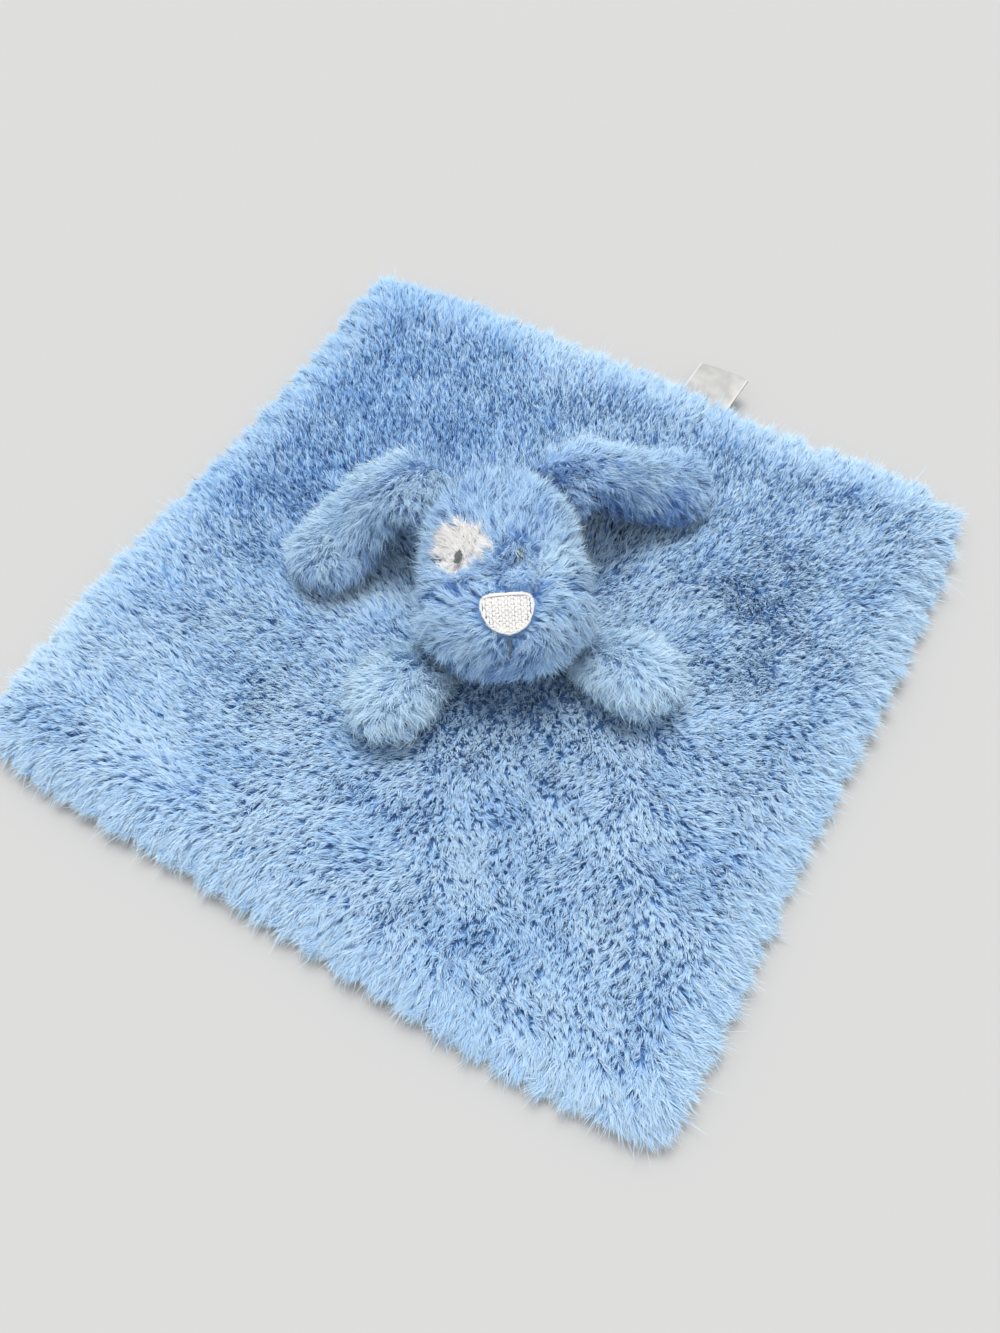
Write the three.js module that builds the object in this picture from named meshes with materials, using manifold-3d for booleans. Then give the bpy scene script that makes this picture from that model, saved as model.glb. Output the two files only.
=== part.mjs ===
// Comfort blanket lovey: a square plush blanket with a stuffed puppy head, two ears and two paws sewn on.
// Millimetres, +Z up. X runs along the front edge and Y towards the edge that holds the care label.
// The origin is the middle of the blanket's underside, on the surface that the blanket lies on.
import * as THREE from "three";
import { mergeVertices } from "three/addons/utils/BufferGeometryUtils.js";
import Module from "manifold-3d";

const wasm = await Module();
wasm.setup();

// Clearances between pieces that touch
const gap = 0.3;
const stuffingGap = 1.3;

// Blanket: two plush panels sewn together round the edge
const blanketSide = 345;
const cornerRounding = 5.5;
const topPanelThickness = 5;
const bottomPanelThickness = 4;
const rimRoll = 2.2;
const rimGrooveDepth = 2.6;
const seamThreadRadius = 0.6;
const seamThreadInset = 1;
const outlineWave = 1.4;

// Folds: low crests that spread from under the puppy, and ripples where the rim is pushed up
const crestHeight = 2.4;
const foldLift = 3.6;
const foldStart = 118;
const foldFull = 158;
const rippleHeight = 5;
const rippleWidth = 30;
const cornerReach = 6;

// Place of the puppy on the blanket
const puppyX = 4.5;
const puppyY = 2;
const puppyTurn = THREE.MathUtils.degToRad(35);

// Head: two swelling lobes, the skull and the muzzle, with plush covers over the filling
const skullHalfWidth = 35;
const skullHalfLength = 36;
const skullHalfHeight = 27.5;
const skullBack = 14;
const skullRise = 5;
const muzzleHalfWidth = 40.5;
const muzzleHalfLength = 32.5;
const muzzleHalfHeight = 25.5;
const muzzleForward = 16.6;
const headCover = 5;
const muzzleSeamForward = 12;
const muzzleSeamTilt = THREE.MathUtils.degToRad(20);

// Neck: a short stuffed stub under the jaw, and the stitches round its foot
const neckHeight = 5.5;
const neckHalfWidth = 16;
const neckHalfLength = 12;
const neckForward = 21;
const stitchThickness = 1;
const stitchDepth = 1.6;

// Nose, mouth and eyes: embroidery, and the white plush patch round one eye
const noseWidth = 23;
const noseHeight = 18;
const noseBorderWidth = 1.3;
const noseForward = 34;
const noseThickness = 1.2;
const noseBorderThickness = 1.8;
const mouthLength = 17;
const mouthThread = 0.9;
const eyeWidth = 4.6;
const eyeHeight = 6.8;
const eyeThickness = 1.6;
const leftEyeForward = 4.6;
const rightEyeForward = 7.8;
const leftEyeAside = 18.8;
const rightEyeAside = 7.4;
const patchWidth = 26;
const patchHeight = 23;
const patchForward = -1.5;
const patchAside = 20;
const patchThickness = 1.2;
const noseTopShare = 0.55;
const noseShoulderShare = 0.85;
const noseSideShare = 0.35;
const noseFootShare = 0.3;
const noseFootDrop = 0.9;

// Ears: long padded flaps
const earLength = 97;
const earHalfWidth = 21.5;
const earHalfThickness = 10.5;
const earRootHalfThickness = 5.5;
const earCover = 3;

// Paws: padded ovals that swell towards the tip
const pawLength = 60;
const pawHalfWidth = 20;
const pawHalfThickness = 12.5;
const pawRootHalfThickness = 4.2;
const pawCover = 3;
const pawRootAside = 31.5;
const pawRootForward = 22;

// Care label: a satin tape folded into a loop, its two ends in the edge seam
const labelWidth = 28;
const labelLength = 26;
const labelTape = 0.6;
const labelLoopGap = 0.9;
const labelX = 25;
const labelTilt = THREE.MathUtils.degToRad(11);
const labelLean = THREE.MathUtils.degToRad(5);

// Levels worked out from the sizes above
const blanketTop = bottomPanelThickness + gap + topPanelThickness;
const restLevel = blanketTop + 2 * gap;
const muzzleCentre = blanketTop + neckHeight + muzzleHalfHeight;
const skullCentre = muzzleCentre + skullRise;

// Materials
const plush = new THREE.MeshStandardMaterial({ color: 0x7ea9dc, roughness: 0.95, metalness: 0 });
const palePlush = new THREE.MeshStandardMaterial({ color: 0x8fb3dd, roughness: 0.95, metalness: 0 });
const whitePlush = new THREE.MeshStandardMaterial({ color: 0xf0eee8, roughness: 0.95, metalness: 0 });
const fibre = new THREE.MeshStandardMaterial({ color: 0xf4f4f2, roughness: 1, metalness: 0 });
const blueThread = new THREE.MeshStandardMaterial({ color: 0x6b95cb, roughness: 0.7, metalness: 0 });
const whiteThread = new THREE.MeshStandardMaterial({ color: 0xf3f0ea, roughness: 0.6, metalness: 0 });
const greyThread = new THREE.MeshStandardMaterial({ color: 0x6d7369, roughness: 0.6, metalness: 0 });
const satin = new THREE.MeshStandardMaterial({ color: 0xf5f5f3, roughness: 0.45, metalness: 0 });

const lovey = new THREE.Group();
const puppy = new THREE.Group();
puppy.position.set(puppyX, puppyY, 0);
puppy.rotation.z = puppyTurn;
lovey.add(puppy);

function addMesh(parent, name, geometry, material) {
  geometry.computeVertexNormals();
  const mesh = new THREE.Mesh(geometry, material);
  mesh.name = name;
  parent.add(mesh);
  return mesh;
}

// A closed body from its corner points and faces. Points that coincide are merged and faces that vanish are left out.
function bodyGeometry(points, faces) {
  const raw = new THREE.BufferGeometry().setFromPoints(points);
  raw.setIndex(faces.flat());
  const merged = mergeVertices(raw);
  const index = Array.from(merged.index.array);
  const kept = [];
  for (let i = 0; i < index.length; i += 3) {
    const [a, b, c] = index.slice(i, i + 3);
    if (a !== b && b !== c && c !== a) kept.push(a, b, c);
  }
  merged.setIndex(kept);
  return merged;
}

// The two triangles of a four-cornered face, its corners in order as seen from outside
function quad(a, b, c, d) {
  return [[a, b, c], [a, c, d]];
}

// The same four corners seen from the other side, split along the same diagonal
function turnedOver([a, b, c, d]) {
  return [a, d, c, b];
}

function toSolid(geometry) {
  const bare = new THREE.BufferGeometry();
  bare.setAttribute("position", geometry.attributes.position);
  if (geometry.index) bare.setIndex(geometry.index);
  const merged = mergeVertices(bare);
  return new wasm.Manifold(new wasm.Mesh({
    numProp: 3,
    vertProperties: new Float32Array(merged.attributes.position.array),
    triVerts: new Uint32Array(merged.index.array),
  }));
}

function fromSolid(solid) {
  const mesh = solid.getMesh();
  const geometry = new THREE.BufferGeometry();
  geometry.setAttribute("position", new THREE.BufferAttribute(mesh.vertProperties, mesh.numProp));
  geometry.setIndex(new THREE.BufferAttribute(mesh.triVerts, 1));
  return geometry;
}

// Blanket folds

const foldCounts = [5, 3, 8];
const foldShares = [0.55, 0.5, 0.3];
const foldPhases = [0.6, -1.3, 2.1];
const foldTwist = 0.9;

// Ripples of the rim: the place of each as shares of half the side, and its share of the ripple height
const rippleShares = [
  [0.03, 1, 1],
  [-0.66, 1, 0.6],
  [0.75, 1, 0.6],
  [-1, 0.86, 0.9],
  [1, 0.28, 0.8],
  [-1, -0.4, 0.5],
  [0.3, -1, 0.5],
];

// Height of the blanket's underside over the table at a place on it
function blanketLift(x, y) {
  const aside = x - puppyX;
  const along = y - puppyY;
  const reach = Math.hypot(aside, along);
  const turn = Math.atan2(along, aside) + foldTwist * reach / blanketSide;
  const fold = foldCounts.reduce((sum, count, i) => sum + foldShares[i] * Math.cos(count * turn + foldPhases[i]), 0);
  const spread = THREE.MathUtils.smoothstep(reach, foldStart, foldFull);
  const crest = THREE.MathUtils.clamp(foldLift * fold * spread, 0, crestHeight);
  const ripple = rippleShares.reduce((sum, [p, q, share]) => {
    const away = Math.hypot(x - p * blanketSide / 2, y - q * blanketSide / 2) / rippleWidth;
    return sum + share * Math.exp(-away * away);
  }, 0);
  return crest * (1 - THREE.MathUtils.clamp(ripple, 0, 1)) + rippleHeight * ripple;
}

// Blanket panels

const cells = 20;
const cornerPower = 8;
const edgePower = 6;
const outlineWaves = 5;
const faceEdgeShare = 0.7;
const bulgeShare = 0.38;

// A place on the blanket for grid shares p and q from -1 to 1, drawn in from the outline by inset at the rim
function blanketPlace(p, q, inset) {
  const half = blanketSide / 2;
  const corner = cornerRounding * Math.abs(p * q) ** cornerPower;
  const waveX = outlineWave * Math.abs(p) ** edgePower * (1 + Math.cos(outlineWaves * q + p)) / 2;
  const waveY = outlineWave * Math.abs(q) ** edgePower * (1 + Math.cos(outlineWaves * p - q)) / 2;
  const rimX = Math.abs(p) === 1 ? inset : 0;
  const rimY = Math.abs(q) === 1 ? inset : 0;
  const pulled = p * q < 0 ? cornerReach * Math.abs(p * q) ** edgePower : 0;
  const x = Math.sign(p) * (half * Math.abs(p) - corner - waveX - rimX + pulled);
  const y = Math.sign(q) * (half * Math.abs(q) - corner - waveY - rimY);
  return [x, y];
}

// Grid shares of the rim, counter-clockwise seen from above
const rimShares = [];
for (let side = 0; side < 4; side += 1) {
  for (let step = 0; step < cells; step += 1) {
    const s = 2 * step / cells - 1;
    rimShares.push([[s, -1], [1, s], [-s, 1], [-1, -s]][side]);
  }
}

// One plush panel between its seam side and its outer face. The rim rolls over from the groove at the seam.
function panelGeometry(seamLevel, faceLevel) {
  const points = [];
  const addPoint = (p, q, inset, level) => {
    const [x, y] = blanketPlace(p, q, inset);
    points.push(new THREE.Vector3(x, y, blanketLift(x, y) + level));
    return points.length - 1;
  };
  const layer = (rimInset, level, rimLevel) => {
    const rows = [];
    for (let i = 0; i <= cells; i += 1) {
      const row = [];
      for (let j = 0; j <= cells; j += 1) {
        const p = 2 * i / cells - 1;
        const q = 2 * j / cells - 1;
        const onRim = Math.abs(p) === 1 || Math.abs(q) === 1;
        row.push(addPoint(p, q, rimInset, onRim ? rimLevel : level));
      }
      rows.push(row);
    }
    return rows;
  };
  const thickness = faceLevel - seamLevel;
  const faces = [];
  const grids = [
    { rows: layer(rimRoll, faceLevel, seamLevel + faceEdgeShare * thickness), up: thickness > 0 },
    { rows: layer(rimGrooveDepth, seamLevel, seamLevel), up: thickness < 0 },
  ];
  for (const { rows, up } of grids) {
    for (let i = 0; i < cells; i += 1) {
      for (let j = 0; j < cells; j += 1) {
        const ring = [rows[i][j], rows[i + 1][j], rows[i + 1][j + 1], rows[i][j + 1]];
        faces.push(...quad(...(up ? ring : turnedOver(ring))));
      }
    }
  }
  const edge = (rimInset, level) => rimShares.map(([p, q]) => addPoint(p, q, rimInset, level));
  const rings = [
    edge(rimGrooveDepth, seamLevel),
    edge(0, seamLevel + bulgeShare * thickness),
    edge(rimRoll, seamLevel + faceEdgeShare * thickness),
  ];
  for (let k = 0; k + 1 < rings.length; k += 1) {
    rimShares.forEach((share, i) => {
      const j = (i + 1) % rimShares.length;
      const ring = [rings[k][i], rings[k][j], rings[k + 1][j], rings[k + 1][i]];
      faces.push(...quad(...(thickness > 0 ? ring : turnedOver(ring))));
    });
  }
  return bodyGeometry(points, faces);
}

addMesh(lovey, "blanket_bottom_panel", panelGeometry(bottomPanelThickness, 0), plush);
addMesh(lovey, "blanket_top_panel", panelGeometry(bottomPanelThickness + gap, blanketTop), plush);

// Edge seam: one thread that lies in the groove between the panels, all the way round
const threadSides = 3;
function seamThreadGeometry() {
  const points = [];
  const faces = [];
  const level = bottomPanelThickness + gap / 2;
  rimShares.forEach(([p, q]) => {
    for (let k = 0; k < threadSides; k += 1) {
      const angle = 2 * Math.PI * k / threadSides;
      const [x, y] = blanketPlace(p, q, seamThreadInset + seamThreadRadius * Math.cos(angle));
      points.push(new THREE.Vector3(x, y, blanketLift(x, y) + level + seamThreadRadius * Math.sin(angle)));
    }
  });
  rimShares.forEach((share, i) => {
    const j = (i + 1) % rimShares.length;
    for (let k = 0; k < threadSides; k += 1) {
      const m = (k + 1) % threadSides;
      faces.push(...quad(i * threadSides + k, i * threadSides + m, j * threadSides + m, j * threadSides + k));
    }
  });
  return bodyGeometry(points, faces);
}
addMesh(lovey, "edge_seam_thread", seamThreadGeometry(), blueThread);

// Head

// Distance from the head's centre to an ellipsoid's surface along a direction
function reachOfLobe(direction, centre, halfSizes) {
  const d = direction.clone().divide(halfSizes);
  const c = centre.clone().divide(halfSizes);
  const dd = d.dot(d);
  const dc = d.dot(c);
  return (dc + Math.sqrt(dc * dc - dd * (c.dot(c) - 1))) / dd;
}

const headCentre = new THREE.Vector3(0, 0, (skullCentre + muzzleCentre) / 2);
const skullOffset = new THREE.Vector3(0, skullBack, skullCentre).sub(headCentre).setX(0);
const muzzleOffset = new THREE.Vector3(0, -muzzleForward, muzzleCentre).sub(headCentre).setX(0);
const skullSizes = new THREE.Vector3(skullHalfWidth, skullHalfLength, skullHalfHeight);
const muzzleSizes = new THREE.Vector3(muzzleHalfWidth, muzzleHalfLength, muzzleHalfHeight);
const lobeBlend = 11;

// A point of the head's surface, or of one that lies outset from it, in a direction from the head's centre
function headPoint(direction, outset) {
  const skullReach = reachOfLobe(direction, skullOffset, skullSizes);
  const muzzleReach = reachOfLobe(direction, muzzleOffset, muzzleSizes);
  const reach = (skullReach ** lobeBlend + muzzleReach ** lobeBlend) ** (1 / lobeBlend);
  return direction.clone().multiplyScalar(reach + outset).add(headCentre);
}

// The outward normal of the head's surface in a direction from the head's centre
const aLittle = 0.01;
function headNormal(direction) {
  const side = new THREE.Vector3(-direction.y, direction.x, 0).normalize();
  const up = new THREE.Vector3().crossVectors(direction, side);
  const point = headPoint(direction, 0);
  const beside = headPoint(side.multiplyScalar(aLittle).add(direction).normalize(), 0).sub(point);
  const above = headPoint(up.multiplyScalar(aLittle).add(direction).normalize(), 0).sub(point);
  return beside.cross(above).normalize();
}

function headSolid(outset, around, along) {
  const geometry = new THREE.SphereGeometry(1, around, along);
  const position = geometry.attributes.position;
  const direction = new THREE.Vector3();
  for (let i = 0; i < position.count; i += 1) {
    direction.fromBufferAttribute(position, i).normalize();
    position.setXYZ(i, ...headPoint(direction, outset).toArray());
  }
  return toSolid(geometry);
}

// A box far larger than the head, with its top face at a level in the group that turns and moves it
const headSpan = 4 * (skullHalfLength + muzzleHalfLength);
function halfSpace(matrix) {
  const geometry = new THREE.BoxGeometry(headSpan, headSpan, headSpan);
  geometry.translate(0, -headSpan / 2, 0);
  geometry.applyMatrix4(matrix);
  return toSolid(geometry);
}

const headAround = 24;
const headAlong = 16;
const headShell = headSolid(0, headAround, headAlong).subtract(headSolid(-headCover, headAround, headAlong));

// The seam between the muzzle and the two skull covers is a plane, tilted so that the jaw belongs to the muzzle
function muzzleSide(back) {
  const matrix = new THREE.Matrix4().makeRotationX(muzzleSeamTilt);
  matrix.setPosition(0, back - muzzleSeamForward, headCentre.z);
  return halfSpace(matrix);
}
function lowerSide(rise) {
  const matrix = new THREE.Matrix4().makeRotationX(Math.PI / 2);
  matrix.setPosition(0, 0, headCentre.z + rise);
  return halfSpace(matrix);
}
const skullShell = headShell.subtract(muzzleSide(gap));
addMesh(puppy, "muzzle_cover", fromSolid(headShell.intersect(muzzleSide(0))), palePlush);
addMesh(puppy, "forehead_cover", fromSolid(skullShell.subtract(lowerSide(gap))), palePlush);
addMesh(puppy, "head_back_cover", fromSolid(skullShell.intersect(lowerSide(0))), palePlush);
const headStuffing = headSolid(-headCover - stuffingGap, headAround, headAlong);
addMesh(puppy, "head_stuffing", fromSolid(headStuffing), fibre);

// Neck: sewn to the blanket at its foot, and to the jaw at its top
const neckSides = 24;
const neckGeometry = new THREE.CylinderGeometry(1, 1, 1, neckSides);
neckGeometry.rotateX(Math.PI / 2);
neckGeometry.scale(neckHalfWidth, neckHalfLength, muzzleHalfHeight);
neckGeometry.translate(0, -neckForward, blanketTop + gap + muzzleHalfHeight / 2);
const neckSolid = toSolid(neckGeometry).subtract(headSolid(gap, headAround, headAlong));
addMesh(puppy, "neck_stub", fromSolid(neckSolid), palePlush);

// The ring of stitches round the neck's foot: one thread that winds out and in over the joint
const neckStitches = 12;
const threadSteps = 4;
const neckThreadSides = 4;
function threadRing(steps, sides, radius, centreAt) {
  const points = [];
  const faces = [];
  for (let i = 0; i < steps; i += 1) {
    const { centre, out } = centreAt(2 * Math.PI * i / steps);
    for (let k = 0; k < sides; k += 1) {
      const angle = 2 * Math.PI * k / sides;
      const point = centre.clone().addScaledVector(out, radius * Math.cos(angle));
      points.push(point.setZ(point.z + radius * Math.sin(angle)));
    }
  }
  for (let i = 0; i < steps; i += 1) {
    const j = (i + 1) % steps;
    for (let k = 0; k < sides; k += 1) {
      const m = (k + 1) % sides;
      faces.push(...quad(i * sides + k, j * sides + k, j * sides + m, i * sides + m));
    }
  }
  return bodyGeometry(points, faces);
}
const neckThread = (angle) => {
  const out = new THREE.Vector3(Math.cos(angle), Math.sin(angle), 0);
  const outset = gap + stitchThickness + stitchDepth * (1 + Math.cos(neckStitches * angle)) / 2;
  const centre = new THREE.Vector3((neckHalfWidth + outset) * out.x, (neckHalfLength + outset) * out.y, 0);
  return { centre: centre.add(new THREE.Vector3(0, -neckForward, blanketTop + gap + stitchThickness / 2)), out };
};
const neckRing = threadRing(neckStitches * threadSteps, neckThreadSides, stitchThickness / 2, neckThread);
addMesh(puppy, "neck_stitching", neckRing, blueThread);

// Nose, mouth, eyes and eye patch: thread and plush that lie on the covers, cut to the head's own curve

const outlineSteps = 5;

// A straight prism with an outline, stood on the head at a place given in plan and pointing along the surface there
function prismOnHead(outline, aside, forward) {
  const surface = surfaceUnder(aside, forward);
  const geometry = new THREE.ExtrudeGeometry(outline, { depth: 2 * headCover, bevelEnabled: false, curveSegments: outlineSteps });
  geometry.translate(0, 0, -headCover);
  const right = new THREE.Vector3(1, 0, 0);
  const up = new THREE.Vector3().crossVectors(surface.normal, right).normalize();
  right.crossVectors(up, surface.normal);
  const matrix = new THREE.Matrix4().makeBasis(right, up, surface.normal).setPosition(surface.point);
  geometry.applyMatrix4(matrix);
  return toSolid(geometry);
}

// The head's surface above a place in plan, found by halving, and the surface's normal there
const halvings = 40;
function surfaceUnder(aside, forward) {
  const place = new THREE.Vector3(aside, -forward, 0);
  const direction = new THREE.Vector3();
  let low = 0;
  let high = headSpan;
  for (let i = 0; i < halvings; i += 1) {
    place.setZ((low + high) / 2);
    direction.copy(place).normalize();
    const reach = headPoint(direction, 0).distanceTo(headCentre);
    if (place.length() < reach) low = place.z;
    else high = place.z;
  }
  return { point: headPoint(direction, 0), normal: headNormal(direction) };
}

const headSkin = headSolid(gap, headAround, headAlong);
function padOnHead(prism, thickness) {
  return prism.intersect(headSolid(gap + thickness, headAround, headAlong)).subtract(headSkin);
}

// The nose is flat along its top with round shoulders, and runs down to a blunt point
function noseOutline(inset) {
  const half = noseWidth / 2 - inset;
  const high = noseHeight / 2 - inset;
  const top = half * noseTopShare;
  const shoulder = half * noseShoulderShare;
  const shoulderRise = high * noseShoulderShare;
  const side = high * noseSideShare;
  const foot = half * noseFootShare;
  const footDrop = high * noseFootDrop;
  const outline = new THREE.Shape();
  outline.moveTo(-top, high);
  outline.lineTo(top, high);
  outline.bezierCurveTo(shoulder, high, half, shoulderRise, half, side);
  outline.bezierCurveTo(half, -side, foot, -footDrop, 0, -high);
  outline.bezierCurveTo(-foot, -footDrop, -half, -side, -half, side);
  outline.bezierCurveTo(-half, shoulderRise, -shoulder, high, -top, high);
  return outline;
}
const nosePrism = prismOnHead(noseOutline(0), 0, noseForward);
const noseFillPrism = prismOnHead(noseOutline(noseBorderWidth + gap), 0, noseForward);
const noseHole = prismOnHead(noseOutline(noseBorderWidth), 0, noseForward);
addMesh(puppy, "nose_embroidery", fromSolid(padOnHead(noseFillPrism, noseThickness)), whiteThread);
addMesh(puppy, "nose_border", fromSolid(padOnHead(nosePrism.subtract(noseHole), noseBorderThickness)), whiteThread);

function rectangle(width, height, drop) {
  const outline = new THREE.Shape();
  outline.moveTo(-width / 2, -drop - height);
  outline.lineTo(width / 2, -drop - height);
  outline.lineTo(width / 2, -drop);
  outline.lineTo(-width / 2, -drop);
  return outline;
}
const mouthPrism = prismOnHead(rectangle(mouthThread, mouthLength, noseHeight / 2 + gap), 0, noseForward);
addMesh(puppy, "mouth_line", fromSolid(padOnHead(mouthPrism, mouthThread)), greyThread);

function oval(width, height) {
  return new THREE.Shape().absellipse(0, 0, width / 2, height / 2, 0, 2 * Math.PI, false, 0);
}
const leftEyePrism = prismOnHead(oval(eyeWidth, eyeHeight), -leftEyeAside, leftEyeForward);
const leftEyeHole = prismOnHead(oval(eyeWidth + 2 * gap, eyeHeight + 2 * gap), -leftEyeAside, leftEyeForward);
const rightEyePrism = prismOnHead(oval(eyeWidth, eyeHeight), rightEyeAside, rightEyeForward);
const patchPrism = prismOnHead(oval(patchWidth, patchHeight), -patchAside, patchForward);
addMesh(puppy, "eye_left", fromSolid(padOnHead(leftEyePrism, eyeThickness)), greyThread);
addMesh(puppy, "eye_right", fromSolid(padOnHead(rightEyePrism, eyeThickness)), greyThread);
addMesh(puppy, "eye_patch", fromSolid(padOnHead(patchPrism.subtract(leftEyeHole), patchThickness)), whitePlush);

// Ears and paws: limbs that swell and taper along a curved middle line, each an upper and an under cover
// sewn together down both sides, with filling between them. A limb's inner end is rounded about its own hinge line.

// How a limb's width and thickness go from its root (0) to its tip (1), as shares of the largest
function swell(s, rootShare, fullShare) {
  return rootShare + (1 - rootShare) * THREE.MathUtils.smoothstep(s, 0, fullShare);
}
function tipRounding(s, tipShare) {
  const t = Math.max(0, (s - 1 + tipShare) / tipShare);
  return Math.sqrt(Math.max(0, 1 - t * t));
}
function rootRounding(s, rootShare) {
  const t = Math.max(0, (rootShare - s) / rootShare);
  return Math.sqrt(Math.max(0, 1 - t * t));
}

// A point of a limb's surface, or of one that lies inset from it: s along the limb, angle round its section
function limbPoint(limb, s, angle, inset) {
  const length = limb.path.getLength();
  const along = inset / length + s * (1 - 2 * inset / length);
  const centre = limb.path.getPointAt(along);
  const forward = limb.path.getTangentAt(along);
  const side = new THREE.Vector3(forward.y, -forward.x, 0).normalize();
  const up = new THREE.Vector3().crossVectors(side, forward);
  const tip = tipRounding(s, limb.tipShare);
  const rootShare = limb.rootHalfThickness / length;
  const width = (limb.halfWidth - inset) * swell(s, limb.rootWidthShare, limb.fullShare) * tip;
  const rootThickness = (limb.rootHalfThickness - inset) / (limb.halfThickness - inset);
  const thickness = (limb.halfThickness - inset) * swell(s, rootThickness, limb.fullShare) * tip;
  centre.addScaledVector(side, width * Math.cos(angle));
  return centre.addScaledVector(up, thickness * rootRounding(s, rootShare) * Math.sin(angle));
}

// Rows are closer together where a limb's ends round off
function limbRows(count) {
  return Array.from({ length: count + 1 }, (_, i) => (1 - Math.cos(Math.PI * i / count)) / 2);
}

const limbRowCount = 9;
const limbColumns = 6;

// One cover: the outside and the inside of half the limb's section, joined by a wall all round the seam
function coverGeometry(limb, half) {
  const points = [];
  const faces = [];
  const shift = half * gap / 2;
  const rows = limbRows(limbRowCount);
  const layer = (inset) => rows.map((s) => {
    const row = [];
    for (let k = 0; k <= limbColumns; k += 1) {
      const point = limbPoint(limb, s, half * Math.PI * k / limbColumns, inset);
      point.z += shift;
      points.push(point);
      row.push(points.length - 1);
    }
    return row;
  });
  const outer = layer(0);
  const inner = layer(limb.cover);
  const add = (ring) => faces.push(...quad(...(half > 0 ? ring : turnedOver(ring))));
  for (let i = 0; i < limbRowCount; i += 1) {
    for (let k = 0; k < limbColumns; k += 1) {
      add([outer[i][k], outer[i + 1][k], outer[i + 1][k + 1], outer[i][k + 1]]);
      add([inner[i][k], inner[i][k + 1], inner[i + 1][k + 1], inner[i + 1][k]]);
    }
    add([inner[i][0], inner[i + 1][0], outer[i + 1][0], outer[i][0]]);
    const last = limbColumns;
    add([outer[i][last], outer[i + 1][last], inner[i + 1][last], inner[i][last]]);
  }
  for (let k = 0; k < limbColumns; k += 1) {
    add([outer[0][k], outer[0][k + 1], inner[0][k + 1], inner[0][k]]);
    const last = limbRowCount;
    add([outer[last][k + 1], outer[last][k], inner[last][k], inner[last][k + 1]]);
  }
  return bodyGeometry(points, faces);
}

const fillingColumns = 2 * limbColumns;
function fillingGeometry(limb) {
  const points = [];
  const faces = [];
  const rows = limbRows(limbRowCount).map((s) => {
    const row = [];
    for (let k = 0; k < fillingColumns; k += 1) {
      points.push(limbPoint(limb, s, 2 * Math.PI * k / fillingColumns, limb.cover + stuffingGap));
      row.push(points.length - 1);
    }
    return row;
  });
  for (let i = 0; i < limbRowCount; i += 1) {
    for (let k = 0; k < fillingColumns; k += 1) {
      const m = (k + 1) % fillingColumns;
      faces.push(...quad(rows[i][k], rows[i + 1][k], rows[i + 1][m], rows[i][m]));
    }
  }
  return bodyGeometry(points, faces);
}

// A limb's middle line. It starts one root radius before the hinge, goes through the hinge and on to the tip. The places
// after the hinge are pairs of shares of the length. The underside comes down from the hinge to the blanket.
const pathSteps = 12;
function limbPath(limb, hinge, length, placeShares) {
  const places = [[0, 0], ...placeShares].map(([aside, back]) => {
    return new THREE.Vector3(hinge.x + length * aside, hinge.y + length * back, 0);
  });
  const plan = new THREE.CatmullRomCurve3(places, false, "centripetal");
  const whole = plan.getLength() + limb.rootHalfThickness;
  const rootShare = limb.rootHalfThickness / limb.halfThickness;
  const points = [];
  for (let i = 0; i <= pathSteps; i += 1) {
    const u = i / pathSteps;
    const s = 1 - (1 - u) * plan.getLength() / whole;
    const drop = (hinge.z - restLevel - limb.rootHalfThickness) * (1 - THREE.MathUtils.smoothstep(u, 0, limb.restShare));
    const point = plan.getPointAt(u);
    points.push(point.setZ(restLevel + drop + limb.halfThickness * swell(s, rootShare, limb.fullShare)));
  }
  points[0].setZ(hinge.z);
  const first = points[1].clone().sub(hinge).normalize();
  const start = hinge.clone().addScaledVector(first, -limb.rootHalfThickness);
  return new THREE.CatmullRomCurve3([start, ...points], false, "centripetal");
}

const ear = {
  halfWidth: earHalfWidth,
  halfThickness: earHalfThickness,
  rootHalfThickness: earRootHalfThickness,
  cover: earCover,
  rootWidthShare: 0.8,
  fullShare: 0.42,
  tipShare: 0.2,
  restShare: 0.72,
};

// The hinge line of an ear lies one root radius and two gaps off the head, in a direction from the head's centre
const earSideShare = 0.55;
const earBackShare = 0.83;
const earRiseShare = 0.16;
function earHinge(side) {
  const direction = new THREE.Vector3(side * earSideShare, earBackShare, earRiseShare).normalize();
  return headPoint(direction, 0).addScaledVector(headNormal(direction), 2 * gap + earRootHalfThickness);
}
const leftEarHinge = earHinge(-1);
const rightEarHinge = earHinge(1);
const leftEarShares = [[-0.13, 0.1], [-0.32, 0.075], [-0.51, -0.05], [-0.66, -0.22]];
const rightEarShares = [[0.14, 0.1], [0.37, 0.165], [0.6, 0.21], [0.8, 0.23]];

const paw = {
  halfWidth: pawHalfWidth,
  halfThickness: pawHalfThickness,
  rootHalfThickness: pawRootHalfThickness,
  cover: pawCover,
  rootWidthShare: 0.6,
  fullShare: 0.62,
  tipShare: 0.36,
  restShare: 1,
};
const leftPawHinge = new THREE.Vector3(-pawRootAside, -pawRootForward, restLevel + pawRootHalfThickness);
const rightPawHinge = new THREE.Vector3(pawRootAside, -pawRootForward, restLevel + pawRootHalfThickness);
const leftPawShares = [[-0.18, -0.22], [-0.39, -0.46], [-0.59, -0.7]];
const rightPawShares = [[0.2, -0.2], [0.44, -0.42], [0.67, -0.64]];

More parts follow.
